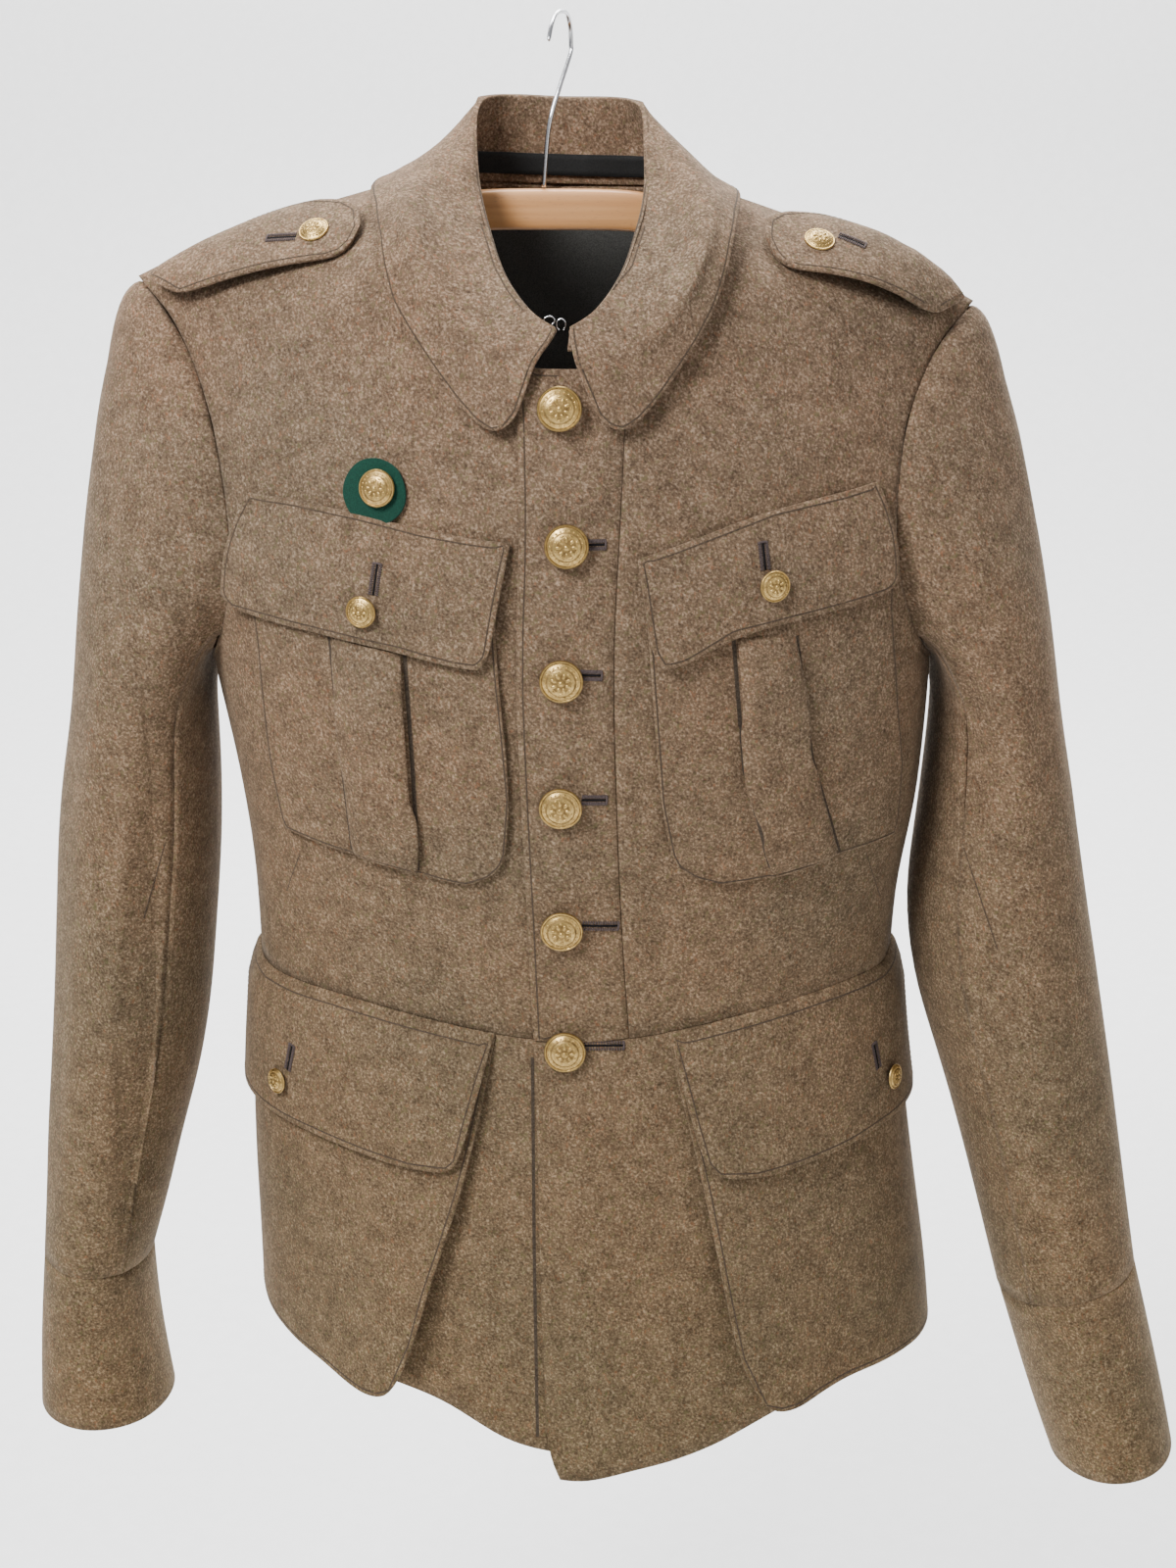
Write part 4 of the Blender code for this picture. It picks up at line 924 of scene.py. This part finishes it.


# The piece, half the width of the line, and places along it. The wide lines are painted shadows beside the
# raised edges of the pleats and the overlapping front, and the narrow ones are painted shade in seams.
SHADE_LINES = [
    ("upper_pocket_right", 0.0009, [
        (-0.1212, -0.1035, -0.302), (-0.1167, -0.1025, -0.370), (-0.1122, -0.0995, -0.429),
    ]),
    ("upper_pocket_right", 0.0014, [
        (-0.0813, -0.1184, -0.305), (-0.0783, -0.1184, -0.370), (-0.0768, -0.1145, -0.431),
    ]),
    ("upper_pocket_left", 0.0014, [
        (0.0872, -0.1170, -0.299), (0.0937, -0.1155, -0.370), (0.1097, -0.1115, -0.431),
    ]),
    ("upper_pocket_left", 0.0010, [
        (0.1208, -0.1060, -0.302), (0.1308, -0.1015, -0.370), (0.1478, -0.0915, -0.427),
    ]),
    ("skirt_front_right", 0.0011, [
        (-0.0172, -0.12, -0.536), (-0.0168, -0.12, -0.650), (-0.0155, -0.12, -0.762),
    ]),
    ("front_upper_right", SEAM_HALF, [
        (-0.1436, -0.0777, -0.4350), (-0.1485, -0.0710, -0.4480), (-0.1530, -0.0638, -0.4620),
    ]),
    ("front_upper_left", SEAM_HALF, [
        (0.1640, -0.0740, -0.4350), (0.1683, -0.0664, -0.4489), (0.1755, -0.0511, -0.4714),
    ]),
    ("sleeve_upper_right", SEAM_HALF, [
        (-0.2186, -0.0591, -0.4339), (-0.2318, -0.0727, -0.4765),
    ]),
    ("sleeve_upper_left", SEAM_HALF, [
        (0.2190, -0.0560, -0.4380), (0.2381, -0.0780, -0.4917),
    ]),
]
# Every strip drawn here is painted shade
for i, (node, wide, places) in enumerate(SHADE_LINES):
    shade_line(f"crease_{i + 1}", node, places, FOLD if wide > SEAM_HALF else GROOVE_SHADE, wide)
print("drew", len(SHADE_LINES), "creases")

# %% [markdown]
# ## Worked buttonholes
# A buttonhole is a slit whose two sides are covered with thread, stitch beside stitch, and closed by a
# bar at its far end. One hole is built flat from copies of the stitch, and then each copy is laid on the
# cloth point by point, so that it follows the swell of the wool.

# %% One buttonhole
HOLE_HALF = 0.0019
STITCHES_A_SIDE = 15
SLIT_WIDE = 0.0011
SLIT_DEEP = 0.0003
# How much longer, wider and thicker than a topstitch the thread across the slit and the thread of its bar are
ACROSS = Matrix.Rotation(QUARTER_TURN, 4, "Z") @ Matrix.Diagonal((0.92, 2.8, 2.6, 1.0))
BAR = Matrix.Rotation(QUARTER_TURN, 4, "Z") @ Matrix.Diagonal((2.3, 3.6, 3.0, 1.0))


def flat_buttonhole(length):
    """Rows of cross stitches on both sides of a slit from x = 0 to x = length, and a bar at the far end."""
    parts = []
    for side in (-1, 1):
        for k in range(STITCHES_A_SIDE):
            x = length * (k + 0.5) / STITCHES_A_SIDE
            parts.append((STITCH_MESH, Matrix.Translation((x, side * HOLE_HALF, 0.0003)) @ ACROSS))
    parts.append((STITCH_MESH, Matrix.Translation((length, 0, 0.0004)) @ BAR))
    hole = joined("buttonhole", parts)
    hole.data.materials.clear()
    hole.data.materials.append(HOLE_THREAD)
    hole.data.materials.append(SLIT_SHADE)
    bpy.ops.object.mode_set(mode="EDIT")
    bpy.ops.mesh.select_all(action="DESELECT")
    # A near-black box along the slit is painted shade, the shadow inside the cut
    bpy.ops.mesh.primitive_cube_add(size=1, location=(0, 0, 0))
    resize((length, SLIT_WIDE, SLIT_DEEP))
    bpy.ops.transform.translate(value=(length / 2, 0, 0.0001))
    hole.active_material_index = 1
    bpy.ops.object.material_slot_assign()
    bpy.ops.mesh.subdivide(number_cuts=6)
    leave_edit()
    return hole


def lay_buttonhole(name, node, start, end):
    start = Vector(start)
    end = Vector(end)
    tree = trees[node]
    length = (end - start).length
    hole = flat_buttonhole(length)
    hole.name = name
    along = (end - start).normalized()
    middle_normal = on_cloth(tree, (start + end) / 2)[1]
    across = middle_normal.cross(along).normalized()
    for vertex in hole.data.vertices:
        flat = start + along * vertex.co.x + across * vertex.co.y
        hit, normal = on_cloth(tree, flat)
        vertex.co = hit + normal * vertex.co.z
    bpy.ops.object.shade_smooth()
    return show(hole, None, "wool")


# The piece, the slit's end at the button, and its far end with the bar
HOLES = [
    ("placket_left", (0.0100, -0.1300, -0.2480), (0.0217, -0.1238, -0.2486)),
    ("placket_left", (0.0095, -0.1291, -0.3157), (0.0203, -0.1273, -0.3163)),
    ("placket_left", (0.0095, -0.1284, -0.3836), (0.0225, -0.1265, -0.3843)),
    ("placket_left", (0.0100, -0.1232, -0.4563), (0.0294, -0.1202, -0.4576)),
    ("skirt_front_left", (0.0110, -0.1211, -0.5275), (0.0324, -0.1188, -0.5281)),
    ("upper_flap_right", (-0.0965, -0.1166, -0.2773), (-0.0942, -0.1145, -0.2610)),
    ("upper_flap_left", (0.1036, -0.1126, -0.2650), (0.1020, -0.1098, -0.2510)),
    ("lower_flap_right", (-0.1551, -0.0757, -0.5640), (-0.1517, -0.0769, -0.5480)),
    ("lower_flap_left", (0.1764, -0.0655, -0.5680), (0.1735, -0.0670, -0.5520)),
    ("shoulder_strap_right", (-0.1380, -0.0431, -0.1049), (-0.1533, -0.0371, -0.1078)),
    ("shoulder_strap_left", (0.1430, -0.0323, -0.1055), (0.1570, -0.0347, -0.1112)),
]
for i, (node, start, end) in enumerate(HOLES):
    lay_buttonhole(f"buttonhole_{i + 1}", node, start, end)
print("worked", len(HOLES), "buttonholes")

# %% [markdown]
# ## The stamped buttons
# Each button is a thin brass dome with a rolled rim. The stamped design here is a plain one of our own, a
# ring of beads round a small rosette. The dome is a circle extruded ring by ring, with each ring made
# narrower and higher, and the beads and petals are small spheres pressed flat onto it.

# %% One button
# Radius and height of each ring, as shares of the button's radius, from the back round the rim to the middle
BUTTON_RINGS = [
    (0.93, -0.02), (1.00, 0.04), (1.00, 0.11), (0.965, 0.155), (0.92, 0.155), (0.89, 0.125), (0.86, 0.135),
    (0.80, 0.185), (0.70, 0.245), (0.62, 0.285), (0.58, 0.305), (0.45, 0.350), (0.30, 0.385), (0.15, 0.405),
    (0.05, 0.410),
]
DOME = BUTTON_RINGS[6:]
# Dirt and painted shade lie in these low rings, from one radius to the other
DIRT_AND_SHADE_RINGS = [(0.84, 0.90), (0.20, 0.44), (0.60, 0.70)]
# Beads, petals and seeds: how many, their radius, their turn in steps, and length, width and height
DROPS = [
    (22, 0.745, 0.0, (0.055, 0.055, 0.045)),
    (8, 0.36, 0.0, (0.15, 0.085, 0.055)),
    (8, 0.53, 0.5, (0.05, 0.10, 0.04)),
    (1, 0.0, 0.0, (0.13, 0.13, 0.07)),
]


def dome_height(radius):
    for (wide, low), (narrow, high) in zip(DOME, DOME[1:]):
        if narrow <= radius <= wide:
            return low + (high - low) * (wide - radius) / (wide - narrow)
    return DOME[-1][1]


def pressed_drop(radius, angle, size):
    """A flattened sphere on the dome, pointing away from the centre."""
    bpy.ops.mesh.select_all(action="DESELECT")
    bpy.ops.mesh.primitive_uv_sphere_add(segments=10, ring_count=6, radius=1, location=(0, 0, 0))
    resize(size)
    bpy.ops.transform.translate(value=(radius, 0, dome_height(radius)))
    bpy.ops.transform.rotate(value=-angle, orient_axis="Z", center_override=(0, 0, 0))
    bpy.context.active_object.active_material_index = 0
    bpy.ops.object.material_slot_assign()


def stamped_button():
    deselect()
    bpy.ops.mesh.primitive_circle_add(vertices=48, radius=1, fill_type="NGON", location=(0, 0, 0))
    made = bpy.context.active_object
    made.name = "stamped_button"
    made.data.materials.append(BRASS)
    made.data.materials.append(DIRT_AND_SHADE_BRASS)
    edit_all()
    wide, low = BUTTON_RINGS[0]
    resize((wide, wide, 1))
    bpy.ops.transform.translate(value=(0, 0, low))
    for radius, height in BUTTON_RINGS[1:]:
        bpy.ops.mesh.extrude_region_move(TRANSFORM_OT_translate={"value": (0, 0, height - low)})
        resize((radius / wide, radius / wide, 1))
        wide = radius
        low = height
    bpy.ops.mesh.select_all(action="SELECT")
    bpy.ops.mesh.normals_make_consistent(inside=False)
    leave_edit()
    for face in made.data.polygons:
        out = math.hypot(face.center.x, face.center.y)
        face.material_index = 1 if any(start < out < end for start, end in DIRT_AND_SHADE_RINGS) else 0
    bpy.ops.object.mode_set(mode="EDIT")
    for count, radius, turn, size in DROPS:
        for k in range(count):
            pressed_drop(radius, (k + turn) * math.tau / count, size)
    leave_edit()
    bpy.ops.object.shade_smooth_by_angle(angle=math.radians(40))
    return made


BUTTON = stamped_button()
print("one button has", len(BUTTON.data.polygons), "faces")

# %% [markdown]
# ## Putting the buttons on
# Every packed button says where one goes and how wide it is. Its flat back gives the way it faces. A copy
# of the stamped button is turned to face that way, made that wide, and moved with the sway of the cloth
# under it.

# %% Put the buttons on
def seat_of(node):
    """Centre of the flat back, the way out of the cloth, and the width of a packed button."""
    bm = bmesh.new()
    bm.from_mesh(nodes[node].data)
    bmesh.ops.remove_doubles(bm, verts=bm.verts, dist=SAME_PLACE)
    groups = regions_of(bm, math.radians(20))
    # The back is the flattest of the largest groups, and having many faces speaks for it too
    flat = min(groups[:4], key=lambda g: max((f.normal - g[0].normal).length for f in g) - len(g) * 0.01)
    out = -flat[0].normal.copy()
    places = [v.co for f in flat for v in f.verts]
    centre = sum(places, Vector()) / len(places)
    away = [(v.co - centre) - out * (v.co - centre).dot(out) for v in bm.verts]
    width = 2 * max(a.length for a in away)
    middle = sum((v.co for v in bm.verts), Vector()) / len(bm.verts)
    if (middle - centre).dot(out) < 0:
        out.negate()
    bm.free()
    return centre, out, width


STRAP_BUTTON_SHIFT = Vector((0.0, -0.007, -0.001))
# Degrees by which each button is turned further than the one before, since nobody lines them up
BUTTON_TURN = 23


def put_button(node, turn):
    centre, out, width = seat_of(node)
    centre += sway(centre)
    if node.startswith("strap"):
        side = node.split("_")[-1]
        moved = on_shoulder(side, centre) + STRAP_BUTTON_SHIFT
        centre, out = trees[f"shoulder_strap_{side}"].find_nearest(moved)[:2]
    up = Vector((0, 0, 1)) if abs(out.z) < 0.9 else Vector((0, 1, 0))
    seat = standing(centre, up.cross(out), out)
    place = seat @ Matrix.Rotation(math.radians(turn), 4, "Z") @ Matrix.Scale(width / 2, 4)
    made = joined(node + "_stamped", [(BUTTON.data, place)])
    show(made, None, "brass", node)
    return width, out


button_nodes = sorted(n for n in nodes if "button" in n)
for i, node in enumerate(button_nodes):
    width, out = put_button(node, BUTTON_TURN * i)
    print(node, "is", round(width * 1000, 1), "mm wide and faces", [round(v, 2) for v in out])
bpy.data.objects.remove(BUTTON)

# %% [markdown]
# ## The felt disc under the badge
# The badge button sits on a hand-cut disc of green felt, so its edge is a little uneven. A short cylinder
# has its rim bevelled, and its outer points are then moved by noise, as scissors would leave them.

# %% The felt disc
FELT_THICK = 0.0014
FELT_RIM = 0.0004
FELT_UNEVEN = 0.035


def felt_disc():
    centre, out, width = seat_of("badge_disc")
    deselect()
    bpy.ops.mesh.primitive_cylinder_add(
        vertices=64, radius=width / 2, depth=FELT_THICK, location=(0, 0, FELT_THICK / 2)
    )
    made = bpy.context.active_object
    made.name = "felt_disc"
    soft = made.modifiers.new("soft rim", "BEVEL")
    soft.width = FELT_RIM
    soft.segments = 2
    bpy.ops.object.modifier_apply(modifier=soft.name)
    bpy.ops.object.transform_apply(location=True, rotation=True, scale=True)
    for vertex in made.data.vertices:
        angle = math.atan2(vertex.co.y, vertex.co.x)
        uneven = noise.noise(Vector((math.cos(angle) * 1.4, math.sin(angle) * 1.4, 2.0)))
        vertex.co.xy *= 1 + FELT_UNEVEN * uneven
    seat = standing(centre + sway(centre), Vector((1, 0, 0)), out)
    made.data.transform(seat)
    bpy.ops.object.shade_smooth_by_angle(angle=math.radians(50))
    return show(made, FELT, "felt", "badge_disc")


felt_disc()
print("made the felt disc")

# %% [markdown]
# ## The hanger, and the hook and eye of the collar
# The bar is sawn and rounded, so a light crease keeps its long edges. The wires only need rounding.

# %% The hanger and the wires
for node, material, slot, crease in (
    ("hanger_bar", BEECH, "beech", 0.75),
    ("hanger_hook", CHROME, "steel", 0.3),
    ("collar_hook", CHROME, "steel", 0.3),
    ("collar_eye", CHROME, "steel", 0.3),
):
    piece = fresh_copy(node, node + "_rounded")
    soften(piece, crease)
    show(piece, material, slot, node)
    print(node, len(piece.data.polygons), "faces")

# %% [markdown]
# ## The studio
# A pale floor curves up into a pale wall, so the tunic hangs before an even light ground. The wall is a
# plane whose back edge is pulled up, and a bevel turns the corner into a curve.

# %% Floor and wall
FLOOR_LEVEL = -1.25
FLOOR_WIDE = 14
FLOOR_LONG = 9
WALL_BACK = 3.6
WALL_TALL = 4.5
stage_material, stage_tree, stage_shader = new_material("pale paper", (0.86, 0.86, 0.86), 0.9)
paper = ramp(stage_tree, speckle(stage_tree, 60, 2.0), (0.3, 0.85), (0.7, 0.88))
stage_tree.links.new(paper, stage_shader.inputs["Base Color"])
deselect()
bpy.ops.mesh.primitive_plane_add(size=1, location=(0, 0, 0))
stage = bpy.context.active_object
stage.name = "paper_sweep"
edit_all()
resize((FLOOR_WIDE, FLOOR_LONG, 1))
bpy.ops.transform.translate(value=(0, WALL_BACK - FLOOR_LONG / 2, FLOOR_LEVEL))
bpy.ops.mesh.select_all(action="DESELECT")
leave_edit()
for edge in stage.data.edges:
    edge.select = all(stage.data.vertices[k].co.y > 1.0 for k in edge.vertices)
bpy.ops.object.mode_set(mode="EDIT")
bpy.ops.mesh.select_mode(type="EDGE")
bpy.ops.mesh.extrude_region_move(TRANSFORM_OT_translate={"value": (0, 0, WALL_TALL)})
leave_edit()
curve = stage.modifiers.new("curve", "BEVEL")
curve.width = 0.8
curve.segments = 12
bpy.ops.object.modifier_apply(modifier=curve.name)
bpy.ops.object.shade_smooth()
stage.data.materials.append(stage_material)
print("built the paper sweep", FLOOR_WIDE, "m wide")

# %% [markdown]
# ## Lights
# A broad soft light from the front and above, a little to the left, gives the soft shadows under the
# flaps and the collar. A weak warm light fills them from the right, and two more light the wall and the
# tunic's back.

# %% Lights
def area_light(name, place, target, size, power, colour=(1.0, 1.0, 1.0)):
    deselect()
    bpy.ops.object.light_add(type="AREA", location=place)
    made = bpy.context.active_object
    made.name = name
    made.data.size = size
    made.data.energy = power
    made.data.color = colour
    made.rotation_euler = (Vector(target) - Vector(place)).to_track_quat("-Z", "Y").to_euler()


MIDDLE = (0.0, 0.0, -0.42)
area_light("broad light", (-1.0, -1.25, 1.15), MIDDLE, size=0.7, power=76)
area_light("fill light", (1.5, -1.8, 0.1), MIDDLE, size=1.8, power=11, colour=(1.0, 0.95, 0.90))
area_light("wall light", (0.0, 1.6, 2.6), (0.0, 3.4, -0.6), size=3.0, power=420)
area_light("back light", (0.6, 1.9, 1.2), MIDDLE, size=1.2, power=40)
world = bpy.data.worlds.new("soft room")
bpy.context.scene.world = world
world.use_nodes = True
background = world.node_tree.nodes["Background"]
background.inputs["Color"].default_value = (0.95, 0.97, 1.0, 1.0)
background.inputs["Strength"].default_value = 0.40
print("lit the studio")

# %% [markdown]
# ## The camera
# The camera stands a metre and a half in front of the tunic, a little above it, and looks down by twenty
# degrees.

# %% Camera
CAMERA_PLACE = (0.0128, -1.4826, 0.1179)
CAMERA_TILT = math.radians(70)
LENS = 63.97
deselect()
bpy.ops.object.camera_add(location=CAMERA_PLACE, rotation=(CAMERA_TILT, 0, 0))
camera = bpy.context.active_object
camera.data.sensor_width = 36
camera.data.lens = LENS
camera.data.clip_start = 0.05
camera.data.clip_end = 30
bpy.context.scene.camera = camera
print("placed the camera with a", LENS, "mm lens")
